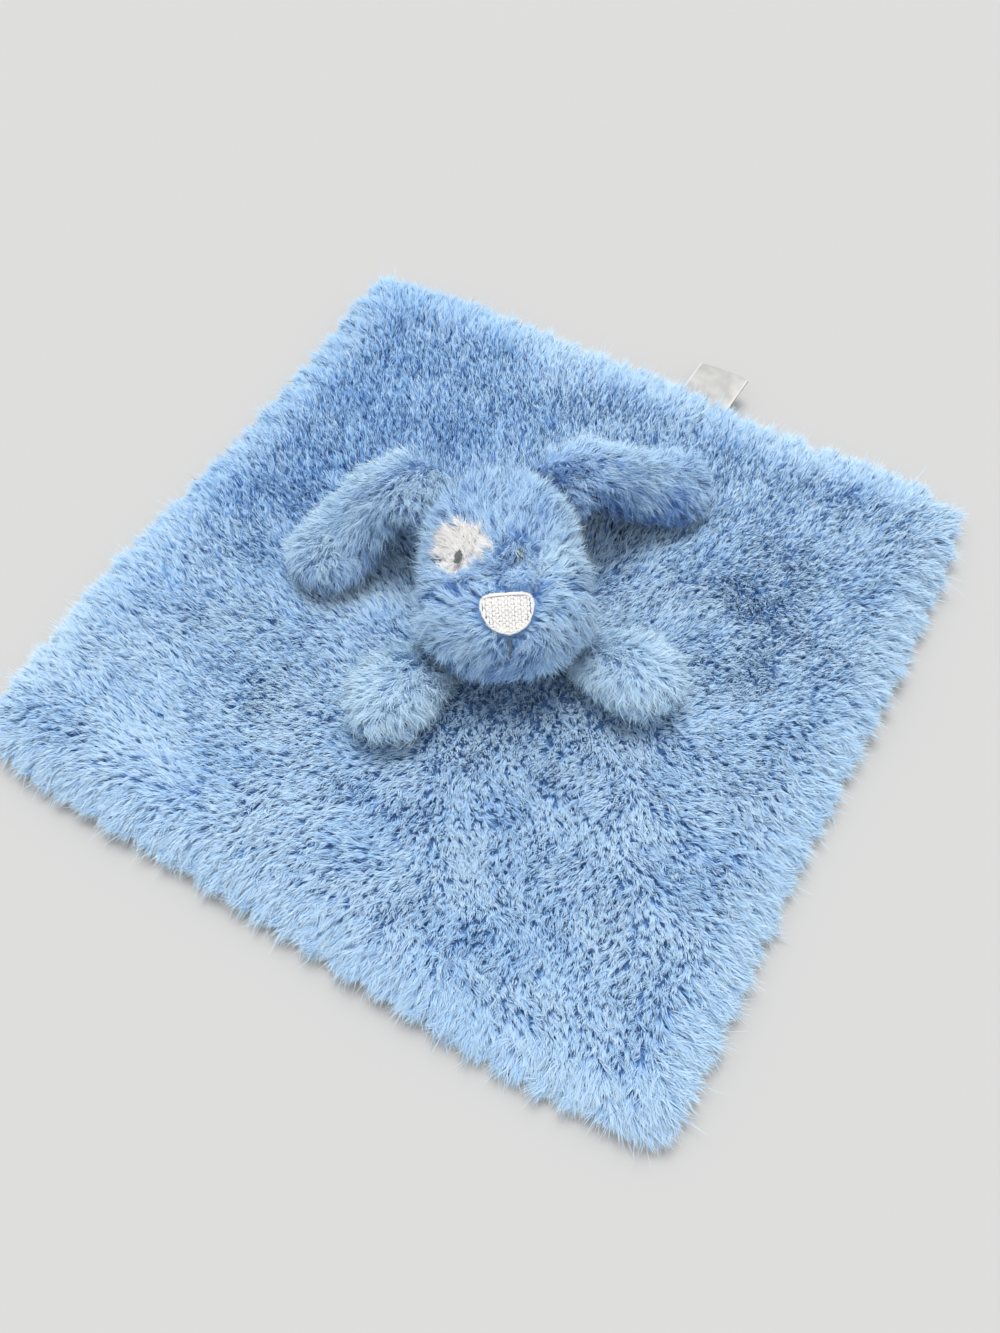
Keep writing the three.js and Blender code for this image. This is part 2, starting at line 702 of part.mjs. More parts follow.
const limbs = {
  ear_left: { ...ear, path: limbPath(ear, leftEarHinge, earLength, leftEarShares) },
  ear_right: { ...ear, path: limbPath(ear, rightEarHinge, earLength, rightEarShares) },
  paw_left: { ...paw, path: limbPath(paw, leftPawHinge, pawLength, leftPawShares) },
  paw_right: { ...paw, path: limbPath(paw, rightPawHinge, pawLength, rightPawShares) },
};
for (const [name, limb] of Object.entries(limbs)) {
  addMesh(puppy, `${name}_upper_cover`, coverGeometry(limb, 1), palePlush);
  addMesh(puppy, `${name}_under_cover`, coverGeometry(limb, -1), palePlush);
  addMesh(puppy, `${name}_stuffing`, fillingGeometry(limb), fibre);
}

// Care label
const foldSteps = 6;
function labelGeometry() {
  const inner = labelLoopGap / 2;
  const outer = inner + labelTape;
  const bend = labelLength - outer;
  const outline = new THREE.Shape();
  outline.moveTo(0, outer);
  outline.lineTo(0, inner);
  outline.lineTo(bend, inner);
  outline.absarc(bend, 0, inner, Math.PI / 2, -Math.PI / 2, true);
  outline.lineTo(0, -inner);
  outline.lineTo(0, -outer);
  outline.lineTo(bend, -outer);
  outline.absarc(bend, 0, outer, -Math.PI / 2, Math.PI / 2, false);
  const geometry = new THREE.ExtrudeGeometry(outline, {
    depth: labelWidth,
    bevelEnabled: false,
    curveSegments: foldSteps,
  });
  geometry.translate(0, 0, -labelWidth / 2);
  const matrix = new THREE.Matrix4().makeBasis(
    new THREE.Vector3(Math.tan(labelLean), 1, 0),
    new THREE.Vector3(0, 0, 1),
    new THREE.Vector3(1, 0, 0),
  );
  return geometry.applyMatrix4(matrix);
}
const label = addMesh(lovey, "care_label", labelGeometry(), satin);
const rimBesideLabel = [-1, 0, 1].map((side) => {
  return blanketPlace((2 * labelX + side * labelWidth) / blanketSide, 1, 0)[1];
});
const labelY = Math.max(...rimBesideLabel) + 2 * gap + (labelTape + labelLoopGap / 2) * Math.sin(labelTilt);
label.position.set(labelX, labelY, blanketLift(labelX, labelY) + bottomPanelThickness + gap / 2);
label.rotation.x = labelTilt;

export default lovey;
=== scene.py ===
import bmesh
import bpy
import math
import numpy as np
from mathutils import Matrix, Vector
from mathutils.bvhtree import BVHTree
from mathutils.kdtree import KDTree


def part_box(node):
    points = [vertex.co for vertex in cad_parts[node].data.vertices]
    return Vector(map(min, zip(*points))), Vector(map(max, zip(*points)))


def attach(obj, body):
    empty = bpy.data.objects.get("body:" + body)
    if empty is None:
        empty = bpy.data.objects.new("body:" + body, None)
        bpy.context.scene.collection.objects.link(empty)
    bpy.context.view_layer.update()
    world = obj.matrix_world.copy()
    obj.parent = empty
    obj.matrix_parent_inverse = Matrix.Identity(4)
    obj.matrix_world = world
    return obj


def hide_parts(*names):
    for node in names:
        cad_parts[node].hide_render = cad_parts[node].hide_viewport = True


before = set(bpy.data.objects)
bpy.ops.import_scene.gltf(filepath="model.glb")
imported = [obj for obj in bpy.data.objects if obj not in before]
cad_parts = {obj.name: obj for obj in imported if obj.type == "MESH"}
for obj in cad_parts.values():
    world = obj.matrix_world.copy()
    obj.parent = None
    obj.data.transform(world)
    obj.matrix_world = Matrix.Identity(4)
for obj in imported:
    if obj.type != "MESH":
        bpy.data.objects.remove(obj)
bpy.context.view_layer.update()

mm = 0.001

# Blanket: two square panels of plush, sewn right sides together all round, turned and closed. Each panel is a
# knitted backing that the pile hides, in a deep blue that shows only between the locks.
backing_depth = 3.2 * mm
depth_over_rim = 0.6
inner_side = -0.25
weld_distance = 0.05 * mm
knit_scale = 900


def put(name, mesh, *materials):
    piece = bpy.data.objects.new(name, mesh)
    bpy.context.scene.collection.objects.link(piece)
    for material in materials:
        mesh.materials.append(material)
    return piece


def rgb(red, green, blue):
    def linear(level):
        level = level / 255
        return level / 12.92 if level <= 0.04045 else ((level + 0.055) / 1.055) ** 2.4
    return (linear(red), linear(green), linear(blue), 1)


def finish_of(name, roughness, sheen=0.0):
    material = bpy.data.materials.new(name)
    material.use_nodes = True
    shader = material.node_tree.nodes["Principled BSDF"]
    shader.inputs["Roughness"].default_value = roughness
    shader.inputs["Specular IOR Level"].default_value = 0.2
    shader.inputs["Sheen Weight"].default_value = sheen
    shader.inputs["Sheen Roughness"].default_value = 0.5
    return material, material.node_tree, shader


def knit_backing(name, low, high):
    material, tree, shader = finish_of(name, roughness=0.95)
    place = tree.nodes.new("ShaderNodeTexCoord")
    grain = tree.nodes.new("ShaderNodeTexNoise")
    grain.inputs["Scale"].default_value = knit_scale
    grain.inputs["Detail"].default_value = 3
    ramp = tree.nodes.new("ShaderNodeValToRGB")
    ramp.color_ramp.elements[0].position = 0.35
    ramp.color_ramp.elements[0].color = low
    ramp.color_ramp.elements[1].position = 0.7
    ramp.color_ramp.elements[1].color = high
    tree.links.new(place.outputs["Object"], grain.inputs["Vector"])
    tree.links.new(grain.outputs["Fac"], ramp.inputs["Fac"])
    tree.links.new(ramp.outputs["Color"], shader.inputs["Base Color"])
    return material


def panel_cloth(name, node, facing, material):
    shape = bmesh.new()
    shape.from_mesh(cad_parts[node].data)
    hidden = [face for face in shape.faces if face.normal.z * facing < inner_side]
    bmesh.ops.delete(shape, geom=hidden, context="FACES")
    bmesh.ops.remove_doubles(shape, verts=shape.verts, dist=weld_distance)
    shape.normal_update()
    moves = [(corner, corner.normal.copy()) for corner in shape.verts]
    for corner, out in moves:
        corner.co -= out * backing_depth * (depth_over_rim + (1 - depth_over_rim) * abs(out.z))
    bmesh.ops.subdivide_edges(shape, edges=shape.edges, cuts=1, smooth=0.6, use_grid_fill=True)
    mesh = bpy.data.meshes.new(name)
    shape.to_mesh(mesh)
    shape.free()
    mesh.shade_smooth()
    return put(name, mesh, material)


blue_backing = knit_backing("blue_knit_backing", rgb(92, 130, 178), rgb(114, 152, 200))
top_cloth = panel_cloth("blanket_top_cloth", "blanket_top_panel", 1, blue_backing)
bottom_cloth = panel_cloth("blanket_bottom_cloth", "blanket_bottom_panel", -1, blue_backing)
for cloth, node in ((top_cloth, "blanket_top_panel"), (bottom_cloth, "blanket_bottom_panel")):
    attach(cloth, "blanket")
    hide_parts(node)

# Edge seam: one twisted polyester thread in the pile's blue that joins the two panels all round. It is sewn
# before the blanket is turned, so it lies sunk in the groove between them.
edge_twist = 500


def twisted_thread(name, low, high, twist):
    material, tree, shader = finish_of(name, roughness=0.55, sheen=0.3)
    place = tree.nodes.new("ShaderNodeTexCoord")
    plies = tree.nodes.new("ShaderNodeTexWave")
    plies.bands_direction = "DIAGONAL"
    plies.inputs["Scale"].default_value = twist
    plies.inputs["Distortion"].default_value = 1.5
    ramp = tree.nodes.new("ShaderNodeValToRGB")
    ramp.color_ramp.elements[0].color = low
    ramp.color_ramp.elements[1].color = high
    bump = tree.nodes.new("ShaderNodeBump")
    bump.inputs["Strength"].default_value = 0.5
    bump.inputs["Distance"].default_value = 0.2 * mm
    tree.links.new(place.outputs["Object"], plies.inputs["Vector"])
    tree.links.new(plies.outputs["Fac"], ramp.inputs["Fac"])
    tree.links.new(ramp.outputs["Color"], shader.inputs["Base Color"])
    tree.links.new(plies.outputs["Fac"], bump.inputs["Height"])
    tree.links.new(bump.outputs["Normal"], shader.inputs["Normal"])
    return material


def finish_node(name, material):
    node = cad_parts[name]
    node.data.materials.clear()
    node.data.materials.append(material)


blue_thread = twisted_thread("blue_thread", rgb(92, 128, 178), rgb(150, 186, 226), edge_twist)
finish_node("edge_seam_thread", blue_thread)

# Pile of the blanket: long fine polyester, brushed so that it stands in small pointed locks. The locks lean
# one way over a patch and another way over the next. Their roots are painted darker than their tips, as
# painted shade deep in the pile. Each hair is two flat lengths that end in a point, with its colour value,
# painted shade included, kept on its corners.
pile_length = 7.6 * mm
highest_hair = 84.2 * mm
lowest_hair = 0.4 * mm
hair_corners = 5
bend_at_root = 0.42
bend_at_tip = 0.34
share_to_bend = 0.56
share_past_bend = 0.44
bend_height = 0.55
lock_pull = 0.12
own_facing = 0.3
drift_waves = 9
tries_per_lock = 9
closest_locks = 0.62
cell_hash = (73856093, 19349663, 83492791)
map_margin = 0.02
map_size = 0.96
mix_low = 6
mix_high = 7
mix_result = 2


def brushed_pile(name, roots, tips):
    material, tree, shader = finish_of(name, roughness=0.8, sheen=0.12)
    # The colour value mixes each hair's own random colour with painted shade. The roots' ramp is darker than
    # the tips' ramp, as painted shade deep in the pile.
    tone_and_shade = tree.nodes.new("ShaderNodeAttribute")
    tone_and_shade.attribute_name = "tone_and_shade"
    along = tree.nodes.new("ShaderNodeAttribute")
    along.attribute_name = "along"
    low = tree.nodes.new("ShaderNodeValToRGB")
    high = tree.nodes.new("ShaderNodeValToRGB")
    for ramp, colours in ((low, roots), (high, tips)):
        ramp.color_ramp.elements[1].position = 0.95
        ramp.color_ramp.elements.new(0.4)
        for stop, colour in zip(ramp.color_ramp.elements, colours):
            stop.color = colour
        tree.links.new(tone_and_shade.outputs["Fac"], ramp.inputs["Fac"])
    blend = tree.nodes.new("ShaderNodeMix")
    blend.data_type = "RGBA"
    tree.links.new(along.outputs["Fac"], blend.inputs["Factor"])
    tree.links.new(low.outputs["Color"], blend.inputs[mix_low])
    tree.links.new(high.outputs["Color"], blend.inputs[mix_high])
    tree.links.new(blend.outputs[mix_result], shader.inputs["Base Color"])
    return material


def unit(vectors):
    return vectors / np.maximum(np.linalg.norm(vectors, axis=1, keepdims=True), 1e-12)


def tangent(directions, normals):
    flat = directions - normals * (directions * normals).sum(1, keepdims=True)
    return unit(flat)


def veered(lay, normals, angle):
    return lay * np.cos(angle) + np.cross(normals, lay) * np.sin(angle)


def leaning(out, along, angle):
    return out * np.sin(angle)[:, None] + along * np.cos(angle)[:, None]


def drift(points, size, seed):
    source = np.random.default_rng(seed)
    turns = unit(source.normal(size=(drift_waves, 3))) * source.uniform(0.6, 1.6, (drift_waves, 1))
    turns = turns / size * 2 * math.pi
    phases = source.uniform(0, 2 * math.pi, drift_waves)
    return np.sin(points @ turns.T + phases).sum(1) / 3


def values_of(items, what, kind=float):
    values = np.empty(len(items) * 3, dtype=kind)
    items.foreach_get(what, values)
    return values.reshape(-1, 3)


def surface_points(mesh, pitch, seed):
    source = np.random.default_rng(seed)
    mesh.calc_loop_triangles()
    places = values_of(mesh.vertices, "co")
    upward = values_of(mesh.vertices, "normal")
    corners = values_of(mesh.loop_triangles, "vertices", np.int32)
    a, b, c = (places[corners[:, k]] for k in range(3))
    area = np.linalg.norm(np.cross(b - a, c - a), axis=1) / 2
    count = int(area.sum() / pitch ** 2 * tries_per_lock)
    chosen = source.choice(len(area), count, p=area / area.sum())
    u, v = source.random((2, count))
    over = u + v > 1
    u[over], v[over] = 1 - u[over], 1 - v[over]
    share = np.stack([1 - u - v, u, v], 1)
    points = np.einsum("nk,nkd->nd", share, places[corners[chosen]])
    normals = unit(np.einsum("nk,nkd->nd", share, upward[corners[chosen]]))
    tilted_axes = np.linalg.qr(np.random.default_rng(5).normal(size=(3, 3)))[0]
    tilted = points @ tilted_axes / pitch
    cell = np.floor(tilted).astype(np.int64)
    key = (cell[:, 0] * cell_hash[0]) ^ (cell[:, 1] * cell_hash[1]) ^ (cell[:, 2] * cell_hash[2])
    wobble = np.stack([np.sin(key * k % 6.2831) for k in (1.7, 2.9, 4.3)], 1) * 0.22
    far = np.abs(tilted - cell - 0.5 - wobble).sum(1)
    order = np.lexsort((far, key))
    first = np.ones(count, bool)
    first[1:] = key[order][1:] != key[order][:-1]
    kept = order[first]
    kept = kept[np.argsort(far[kept], kind="stable")]
    tree = KDTree(len(kept))
    for index, point in enumerate(points[kept]):
        tree.insert(point, index)
    tree.balance()
    alive = np.ones(len(kept), bool)
    for index, point in enumerate(points[kept]):
        if alive[index]:
            for _, other, _ in tree.find_range(point, closest_locks * pitch):
                if other > index:
                    alive[other] = False
    kept = kept[alive]
    return points[kept], normals[kept]


def strands(name, body, material, points, normals, lay, length, rise, tone_and_shade, lock, hairs, width, seed,
            gather=0.35, free=0.05, sway=0.12, bend=1.0, lock_edge_shade=0.0, floor=-1.0):
    source = np.random.default_rng(seed)
    count = len(points) * hairs
    which = np.repeat(np.arange(len(points)), hairs)
    lay = veered(lay, normals, source.normal(0, 0.26, (len(points), 1)))
    rise = rise + source.normal(0, 0.1, len(points))
    bow = source.normal(0, sway, len(points))[which]
    out = normals[which]
    along = lay[which]
    across = np.cross(out, along)
    angle = source.uniform(0, 2 * math.pi, count)
    reach = lock * np.sqrt(source.random(count))
    offset = along * (reach * np.cos(angle))[:, None] + across * (reach * np.sin(angle))[:, None]
    long = length[which] * source.uniform(0.85, 1.07, count) * (1 - 0.25 * (reach / lock) ** 2)
    steep = rise[which] + source.normal(0, 0.09, count)
    first = leaning(out, along, steep + bend_at_root * bend)
    second = leaning(out, along, steep - bend_at_tip * bend)
    stray = source.normal(0, 1, (count, 3)) * (long * 0.05)[:, None]
    loose = source.random(count) < free
    long = np.where(loose, long * 1.18, long)
    stray = np.where(loose[:, None], stray * 2.6, stray)
    hold = np.where(loose, 1.3, np.broadcast_to(gather, len(points))[which])[:, None]
    root = points[which] + offset
    middle = root - offset * lock_pull + first * (long * share_to_bend)[:, None] + stray * 0.4
    middle = middle + across * (bow * long)[:, None]
    tip = middle + offset * (hold - (1 - lock_pull)) + second * (long * share_past_bend)[:, None] + stray
    tip = tip - across * (bow * long * 0.6)[:, None]
    for stage in (root, middle, tip):
        stage[:, 2] = np.clip(stage[:, 2], floor, highest_hair)
    facing = out + source.normal(0, 0.35, (count, 3))
    side = unit(np.cross(tip - root, facing))
    flanks = (middle - root, tip - root, tip - middle)
    own = np.stack([np.cross(side, flank) for flank in flanks], 1)
    own = own / np.linalg.norm(own, axis=2, keepdims=True)
    soft = own * own_facing + out[:, None] * (1 - own_facing)
    soft = soft / np.linalg.norm(soft, axis=2, keepdims=True)
    soft = soft[:, [0, 0, 1, 1, 2]].reshape(-1, 3)
    wide = side * (width * source.uniform(0.75, 1.2, count) / 2)[:, None]
    foot = wide * 0.8
    waist = wide * 1.05
    places = np.stack([root - foot, root + foot, middle - waist, middle + waist, tip], 1)
    base = np.arange(count)[:, None] * hair_corners
    faces = (base[:, :, None] + np.array([[0, 1, 3], [0, 3, 2], [2, 3, 4]])).reshape(-1)
    shade = tone_and_shade[which] + source.normal(0, 0.07, count)
    # Painted shade: the outer hairs of each lock are darker, for the shade in the gaps between locks.
    shade = shade + np.broadcast_to(lock_edge_shade, len(points))[which] * (0.3 - (reach / lock) ** 4)
    shade = np.repeat(np.clip(shade, 0, 1), hair_corners)
    heights = np.tile(np.array([0, 0, bend_height, bend_height, 1.0]), count)
    mesh = bpy.data.meshes.new(name)
    mesh.vertices.add(count * hair_corners)
    mesh.vertices.foreach_set("co", places.astype(np.float32).reshape(-1))
    mesh.loops.add(len(faces))
    mesh.loops.foreach_set("vertex_index", faces.astype(np.int32))
    mesh.polygons.add(len(faces) // 3)
    mesh.polygons.foreach_set("loop_start", np.arange(0, len(faces), 3, dtype=np.int32))
    tone_and_shade_layer = mesh.attributes.new("tone_and_shade", "FLOAT", "POINT")
    tone_and_shade_layer.data.foreach_set("value", shade.astype(np.float32))
    lengths = mesh.attributes.new("along", "FLOAT", "POINT")
    lengths.data.foreach_set("value", heights.astype(np.float32))
    chart = mesh.uv_layers.new(name="OFBake")
    spread = np.tile(np.array([-1, 1, -1, 1, 0]) * 0.006, count)
    across_map = map_margin + map_size * shade + spread
    up_map = map_margin + map_size * heights
    flat = np.stack([across_map, up_map], 1)[faces]
    chart.uv.foreach_set("vector", flat.astype(np.float32).reshape(-1))
    mesh.update(calc_edges=True)
    mesh.normals_split_custom_set_from_vertices(soft.astype(np.float32))
    piece = put(name, mesh, material)
    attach(piece, body)
    return piece


def lock_spacing(full):
    return (full) * mm


blanket_pile = brushed_pile("blanket_pile", (rgb(74, 122, 186), rgb(120, 169, 228), rgb(142, 190, 240)),
                            (rgb(116, 168, 230), rgb(182, 224, 255), rgb(222, 244, 255)))
right_x = 0.84
right_y = 0.54
to_photo_right = np.array((right_x, right_y, 0))
to_photo_front = np.array((right_y, -right_x, 0))
under_head = np.array((10, -6, 0)) * mm
side_fade = 60 * mm
edge_begins = 150 * mm
corner_begins = 140 * mm
rim_band = 14 * mm
scallop_width = 15 * mm
mean_scallop = 0.64


def blanket_locks(cloth, pitch, seed):
    points, normals = surface_points(cloth.data, pitch, seed)
    rearward = points[:, 1] * right_x - points[:, 0] * right_y
    rightward = points @ to_photo_right
    rear = np.clip((rearward - 10 * mm) / (70 * mm), 0, 1)
    front = np.clip((-rearward - 30 * mm) / side_fade, 0, 1)
    right = np.clip(rightward / side_fade + 0.3, 0, 1)
    left = np.clip(-rightward / side_fade, 0, 1) * (1 - rear)
    away = unit((points - under_head) * np.array((1, 1, 0)))
    away = away + to_photo_front * (0.9 * right * (1 - rear))[:, None]
    heading = np.arctan2(away[:, 1], away[:, 0])
    heading = heading + drift(points, 120 * mm, seed + 1) * 0.5
    heading = heading + drift(points, 32 * mm, seed + 2) * 0.3
    source = np.random.default_rng(seed + 5)
    heading = heading + source.normal(0, 0.7, len(points)) * rear
    lay = np.stack([np.cos(heading), np.sin(heading), np.zeros(len(points))], 1)
    rim = np.abs(points[:, :2]).max(1)
    edge = np.clip((rim - edge_begins) / (18 * mm), 0, 1)
    corner = np.clip((np.abs(points[:, :2]).min(1) - corner_begins) / (24 * mm), 0, 1) * edge
    outward = points * np.array([1, 1, 0])
    outward = unit(np.where(np.abs(outward) >= rim[:, None] - rim_band, outward, 0))
    lay = lay * (1 - edge * 0.8)[:, None] + outward * (edge * 1.4)[:, None]
    lay = tangent(lay + 1e-6, normals)
    rise = 1.06 + 0.06 * drift(points, 46 * mm, seed + 3) + 0.1 * drift(points, 9 * mm, seed + 4)
    ridge = np.sin(6 * heading + 1.2 * drift(points, 90 * mm, 9)) * front * (1 - edge)
    rise = rise + 0.3 * rear * (1 - edge) - 0.38 * front - 0.1 * ridge
    rise = np.clip(rise, 0.55, 1.5) * (1 - 0.4 * edge)
    length = pile_length * (1 + source.normal(0, 0.1, len(points))) * (1 + 0.28 * edge + 0.15 * corner)
    run = np.where(np.abs(points[:, 0]) > np.abs(points[:, 1]), points[:, 1], points[:, 0])
    scallop = np.abs(np.sin(math.pi * (run / scallop_width + 0.25 * drift(points, 40 * mm, 8))))
    length = length * (1 + 0.5 * edge * (scallop - mean_scallop)) * (1 - 0.15 * rear * (1 - edge))
    # Painted light and shade: the colour value is lowered toward the rear, raised toward the right and the
    # left, and banded along the ridges in front, for the light and shade that fall over the blanket and its
    # folds.
    tone_and_shade = 0.66 + 0.09 * drift(points, 60 * mm, seed + 6) + source.normal(0, 0.1, len(points))
    tone_and_shade = tone_and_shade - 0.2 * rear + 0.1 * ridge + 0.1 * right * (1.4 + rear) + 0.1 * left
    return points, normals, lay, length, rise, tone_and_shade, edge, rear


points, normals, lay, length, rise, tone_and_shade, edge, rear = blanket_locks(top_cloth, lock_spacing(2.1), 11)
tone_and_shade = tone_and_shade + 0.1 * edge
columns = np.digitize(points[:, 0], (-86 * mm, 0, 86 * mm))
rows = np.digitize(points[:, 1], (0,))
for column in range(4):
    for row in range(2):
        part = (columns == column) & (rows == row)
        piece = strands(f"blanket_pile_{column + 1}_{row + 1}", "blanket", blanket_pile,
                        points[part], normals[part], lay[part], length[part], rise[part], tone_and_shade[part],
                        lock=1.35 * mm, hairs=15, width=0.34 * mm, seed=40 + column * 2 + row,
                        gather=0.82 + 0.25 * edge[part], bend=0.6, lock_edge_shade=0.42 + 0.35 * rear[part],
                        floor=lowest_hair)

# Fringe and underside: the same pile where it spills over the rim, longer in scallops, and below, where the
# blanket's weight presses it flat.
lowest_below = 0.3 * mm
points, normals, lay, length, rise, tone_and_shade, edge, _ = blanket_locks(top_cloth, lock_spacing(2.0), 15)
outer = edge > np.random.default_rng(16).uniform(0.25, 1.0, len(edge))
for side, part in (("left", outer & (points[:, 0] < 0)), ("right", outer & (points[:, 0] >= 0))):
    piece = strands("blanket_fringe_" + side, "blanket", blanket_pile, points[part], normals[part],
                    lay[part], length[part], rise[part] * 0.9, tone_and_shade[part] + 0.18,
                    lock=1.8 * mm, hairs=13, width=0.26 * mm, seed=81, gather=1.25, free=0.4, bend=0.8,
                    floor=lowest_hair)
points, normals, lay, length, rise, tone_and_shade, _, _ = blanket_locks(bottom_cloth, lock_spacing(3.8), 21)
under = np.abs(points[:, :2]).max(1) < 162 * mm
under_pieces = [strands("blanket_under_pile", "blanket", blanket_pile, points[under], normals[under],
                        lay[under], length[under] * 0.8, rise[under] * 0 + 0.1, tone_and_shade[under],
                        lock=2.2 * mm, hairs=7, width=0.75 * mm, seed=61, floor=lowest_below)]
points, normals, lay, length, rise, tone_and_shade, _, _ = blanket_locks(bottom_cloth, lock_spacing(2.3), 25)
rim = np.abs(points[:, :2]).max(1) > 158 * mm
under_pieces.append(strands("blanket_under_fringe", "blanket", blanket_pile, points[rim], normals[rim],
                            lay[rim], length[rim], rise[rim] * 0.5 - 0.3, tone_and_shade[rim] + 0.15,
                            lock=1.9 * mm, hairs=12, width=0.3 * mm, seed=62, gather=1.1, free=0.3,
                            bend=0.8, floor=lowest_below))

# Head: covers of a paler plush, sewn together along cheeks and crown over a firm ball of fibre. The cover is
# blown up here from the inside, as the filling does it.
cloth_depth = 3.4
pressure = 4
sim_steps = 20
smoothing_rounds = 4


def stuffed_cover(name, nodes, voxel, inset, swell, material):
    shape = bmesh.new()
    for node in nodes:
        shape.from_mesh(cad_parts[node].data)
    mesh = bpy.data.meshes.new(name)
    shape.to_mesh(mesh)
    shape.free()
    piece = put(name, mesh)
    remesh = piece.modifiers.new("Remesh", "REMESH")
    remesh.mode = "VOXEL"
    remesh.voxel_size = voxel
    joined = piece.evaluated_get(bpy.context.evaluated_depsgraph_get())
    solid = bpy.data.meshes.new_from_object(joined)
    piece.modifiers.clear()
    shape = bmesh.new()
    shape.from_mesh(solid)
    islands = []
    unseen = set(shape.verts)
    while unseen:
        start = unseen.pop()
        island = [start]
        front = [start]
        while front:
            for line in front.pop().link_edges:
                for corner in line.verts:
                    if corner in unseen:
                        unseen.discard(corner)
                        island.append(corner)
                        front.append(corner)
        islands.append(island)
    islands.sort(key=len)
    inner = [corner for island in islands[:-1] for corner in island]
    bmesh.ops.delete(shape, geom=inner, context="VERTS")
    for _ in range(smoothing_rounds):
        bmesh.ops.smooth_vert(shape, verts=shape.verts, factor=0.5, use_axis_x=True, use_axis_y=True,
                              use_axis_z=True)
    shape.normal_update()
    moves = [(corner, corner.normal.copy()) for corner in shape.verts]
    for corner, out in moves:
        corner.co -= out * inset
    shape.to_mesh(solid)
    shape.free()
    piece.data = solid
    rest = values_of(solid.vertices, "co")
    cloth = piece.modifiers.new("Cloth", "CLOTH")
    cloth.settings.use_pressure = True
    cloth.settings.uniform_pressure_force = pressure
    cloth.settings.effector_weights.gravity = 0
    scene = bpy.context.scene
    for step in range(1, sim_steps + 1):
        scene.frame_set(step)
    puffed = piece.evaluated_get(bpy.context.evaluated_depsgraph_get()).data
    shift = values_of(puffed.vertices, "co") - rest
    piece.modifiers.clear()
    scene.frame_set(1)
    far = np.linalg.norm(shift, axis=1, keepdims=True)
    rest = rest + shift * np.minimum(1, swell / np.maximum(far, 1e-9))
    solid.vertices.foreach_set("co", rest.reshape(-1))
    shape = bmesh.new()
    shape.from_mesh(solid)
    bmesh.ops.subdivide_edges(shape, edges=shape.edges, cuts=1, smooth=1.0, use_grid_fill=True)
    shape.to_mesh(solid)
    shape.free()
    solid.shade_smooth()
    solid.name = name
    solid.materials.append(material)
    return piece


pale_backing = knit_backing("pale_knit_backing", rgb(122, 158, 202), rgb(148, 184, 222))
head_nodes = ("muzzle_cover", "forehead_cover", "head_back_cover", "head_stuffing")
head_cover = stuffed_cover("head_cover", head_nodes, voxel=3.5 * mm, inset=cloth_depth * mm,
                           swell=1.2 * mm, material=pale_backing)
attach(head_cover, "head")
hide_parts("muzzle_cover", "forehead_cover", "head_back_cover", "head_stuffing")

head_turn = math.radians(35)
head_middle = Vector((4.5, 2, 42.8)) * mm
aside = Vector((math.cos(head_turn), math.sin(head_turn), 0))
forward = Vector((math.sin(head_turn), -math.cos(head_turn), 0))
to_side = np.array(aside)
to_front = np.array(forward)


def on_head(side, ahead, height):
    return head_middle + aside * side * mm + forward * ahead * mm + Vector((0, 0, height * mm))


def out_of_head(place):
    return (place - head_middle - forward * 8 * mm).normalized()


def surface_tree(*nodes):
    shape = bmesh.new()
    for node in nodes:
        shape.from_mesh(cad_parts[node].data)
    tree = BVHTree.FromBMesh(shape)
    shape.free()
    return tree


def gap_to(places, *nodes):
    tree = surface_tree(*nodes)
    return np.array([tree.find_nearest(Vector(place))[3] for place in places])


# Pile of the head: the same polyester, a little longer and paler, combed outwards from between the eyes. It
# is clipped short round the nose, the mouth line and the left eye, and it hangs half over the right eye.
# Painted shade darkens the seams of the cheeks, the lower half of a ring round the brow tuft and the chin;
# painted light brightens the right cheek and the pile close round the tuft. The brow is a little darker.
head_hair = 9 * mm
flattest = 0.25
steepest = 1.2
tuft_radius = 7.4 * mm
tuft_height = 6
tuft_foot = 8.4 * mm
tuft_shade = 10.5 * mm
seam_width = 2.8 * mm
nose_nodes = ("nose_embroidery", "nose_border")
head_pile = brushed_pile("head_pile", (rgb(58, 104, 176), rgb(130, 176, 232), rgb(166, 209, 248)),
                         (rgb(84, 134, 202), rgb(196, 230, 255), rgb(222, 245, 255)))
tuft_aim = on_head(8, 18, 23)
tuft = np.array(min(head_cover.data.vertices, key=lambda corner: (corner.co - tuft_aim).length).co)
cloth_places = values_of(head_cover.data.vertices, "co")
cloth_out = values_of(head_cover.data.vertices, "normal")
bulge = np.clip(1 - (np.linalg.norm(cloth_places - tuft, axis=1) / tuft_radius) ** 2, 0, 1) ** 0.7
cloth_places = cloth_places + cloth_out * bulge[:, None] * tuft_height * mm
head_cover.data.vertices.foreach_set("co", cloth_places.reshape(-1))
head_cover.data.update()
points, normals = surface_points(head_cover.data, lock_spacing(1.85), 31)
skin = points + normals * cloth_depth * mm
lay = tangent(points - tuft + np.array([0, 0, 1e-5]), normals)
veer = 0.75 * drift(points, 30 * mm, 32) + 0.5 * drift(points, 9 * mm, 33)
lay = veered(lay, normals, veer[:, None])
source = np.random.default_rng(34)
length = head_hair * (1 + source.normal(0, 0.15, len(points)))
rise = 0.66 + 0.2 * drift(points, 18 * mm, 35) + source.normal(0, 0.1, len(points))
rise = np.clip(rise, flattest, steepest)
tone_and_shade = 0.5 + 0.12 * drift(points, 26 * mm, 36) + source.normal(0, 0.12, len(points))
ahead_of_tuft = (points - tuft) @ to_front
from_tuft = np.linalg.norm(points - tuft, axis=1)
brow = np.clip(-ahead_of_tuft / (12 * mm) - 0.6, 0, 1) * np.clip(normals[:, 2], 0, 1)
rise = rise + 0.28 * brow
